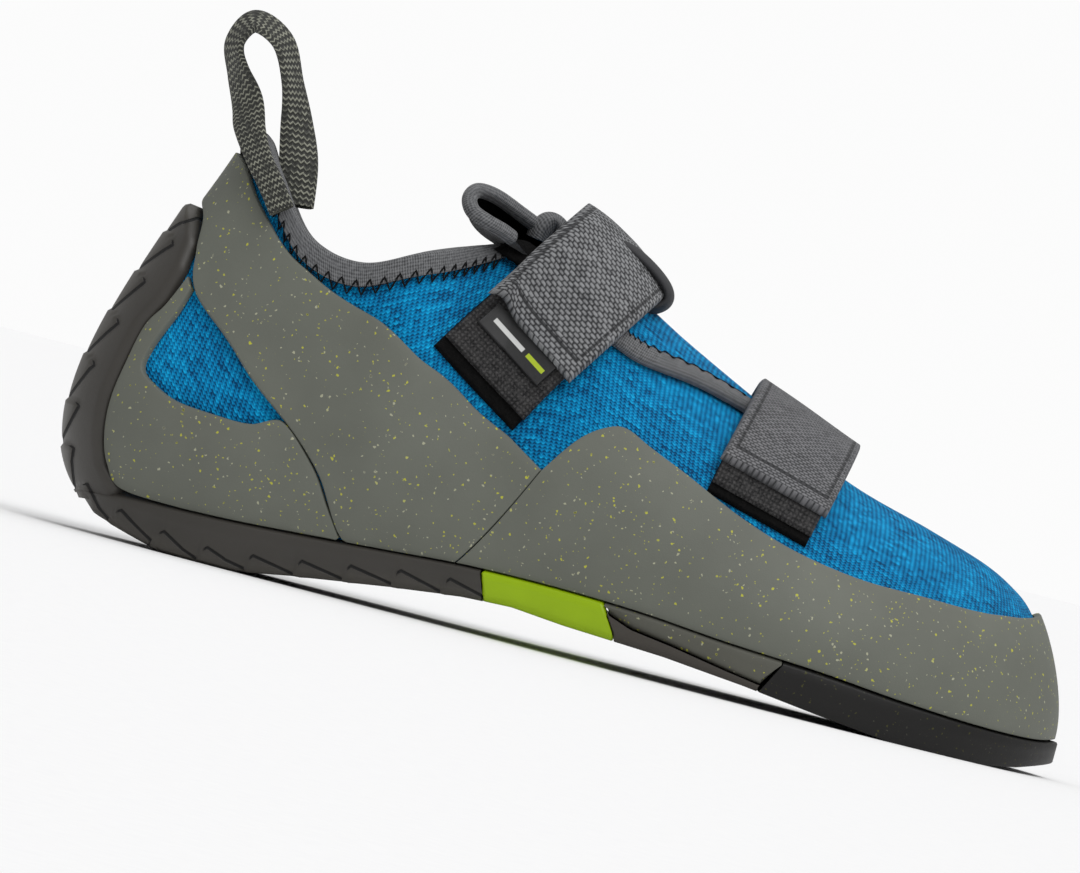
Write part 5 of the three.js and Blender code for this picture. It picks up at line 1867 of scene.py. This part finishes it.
@dataclass
class Studio:
    """The pale floor, the soft lights and the camera at the photograph's angle.

    Attributes:
        centre: what the middle of the picture looks at, along and up, in millimetres.
        roll: how far the picture is turned, in degrees.
        distance: how far away the camera stands, in metres.
        view: the width of what it sees there, in metres.
        sky: how bright the soft light from all round is.
        backdrop: how bright the plain backdrop looks.
    """

    centre: tuple[float, float] = (113.5, 49.6)
    roll: float = 14.5
    distance: float = 2.4
    view: float = 0.261
    sky: float = 0.5
    backdrop: float = 0.97

    def lamp(self, name: str, place: tuple[float, float, float], spread: float,
             power: float) -> None:
        """Adds a soft distant light that faces the shoe."""
        bpy.ops.object.light_add(type="SUN", location=place)
        light = bpy.context.object
        light.name = name
        light.data.angle = math.radians(spread)
        light.data.energy = power
        aim = Vector((0.07, 0, 0.05)) - Vector(place)
        light.rotation_euler = aim.to_track_quat("-Z", "Y").to_euler()

    def build(self) -> None:
        """Makes floor, light and camera."""
        bpy.ops.mesh.primitive_plane_add(size=30)
        floor = bpy.context.object
        floor.name = "floor"
        shade = Shader("floor_paper")
        paper = shade.noise(shade.place(), 300.0, 2.0)
        colour = shade.blend(srgb(240, 240, 241), srgb(246, 246, 246), paper)
        floor.data.materials.append(shade.finish(colour, 0.9))
        floor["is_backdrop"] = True
        world_light = bpy.data.worlds.new("studio")
        bpy.context.scene.world = world_light
        world_light.use_nodes = True
        tree = world_light.node_tree
        light = tree.nodes["Background"]
        light.inputs[0].default_value = (1.0, 1.0, 1.0, 1.0)
        light.inputs[1].default_value = self.sky
        paper = tree.nodes.new("ShaderNodeBackground")
        paper.inputs[0].default_value = (1.0, 1.0, 1.0, 1.0)
        paper.inputs[1].default_value = self.backdrop
        seen = tree.nodes.new("ShaderNodeLightPath")
        both = tree.nodes.new("ShaderNodeMixShader")
        tree.links.new(seen.outputs["Is Camera Ray"], both.inputs[0])
        tree.links.new(light.outputs[0], both.inputs[1])
        tree.links.new(paper.outputs[0], both.inputs[2])
        tree.links.new(both.outputs[0], tree.nodes["World Output"].inputs[0])
        self.lamp("key", (0.55, -0.8, 1.2), 35, 1.3)
        self.lamp("top", (0.3, 0.35, 1.5), 50, 0.85)
        bpy.context.scene.view_settings.view_transform = "Standard"
        camera_data = bpy.data.cameras.new("camera")
        camera = bpy.data.objects.new("camera", camera_data)
        bpy.context.scene.collection.objects.link(camera)
        camera_data.sensor_width = 36
        camera_data.lens = 36 * self.distance / self.view
        camera_data.clip_end = 50
        angle = math.radians(self.roll)
        right = Vector((math.cos(angle), 0, math.sin(angle)))
        up = Vector((-math.sin(angle), 0, math.cos(angle)))
        toward = Vector((0, -1, 0))
        turn = Matrix((right, up, toward)).transposed().to_4x4()
        x, z = self.centre
        place = Vector(((x - HEEL_REST) / 1000, -self.distance, z / 1000))
        camera.matrix_world = Matrix.Translation(place) @ turn
        bpy.context.scene.camera = camera


def report_size(before: tuple[Vector, Vector], after: tuple[Vector, Vector]) -> None:
    """Lays the solids' box and the dressed shoe's box side by side in a table, which is not kept.
    """
    boxes = {"cad": before, "visual": after}
    {k: [list(c) for c in box] for k, box in boxes.items()}


def main() -> None:
    """Builds the shoe's parts in order."""
    logging.basicConfig(level=logging.INFO, format="%(message)s")
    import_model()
    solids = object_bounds()
    Studio().build()
    upper = Closure("upper", at=0.415, up=0.739, lean=33.6, pad_down=18.4, hook_down=14.7,
                    tucked=8, medial_down=14, lift=(10, 3), finish=Finish.STRAP)
    lower = Closure("lower", at=0.672, up=0.537, lean=14.7, pad_down=8.8, hook_down=6.1,
                    tucked=6, medial_down=12, lift=(2, 4), finish=Finish.STRAP_FINE)
    parts = (Upper(), Insole(), HeelUnit(), Sole(), Rands(), CollarTrim(), Hood(), InstepFlap(),
             upper, lower, PullLoop())
    for part in parts:
        LOG.info("building %s", type(part).__name__)
        part.build()
    report_size(solids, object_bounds())


if __name__ == "__main__":
    main()
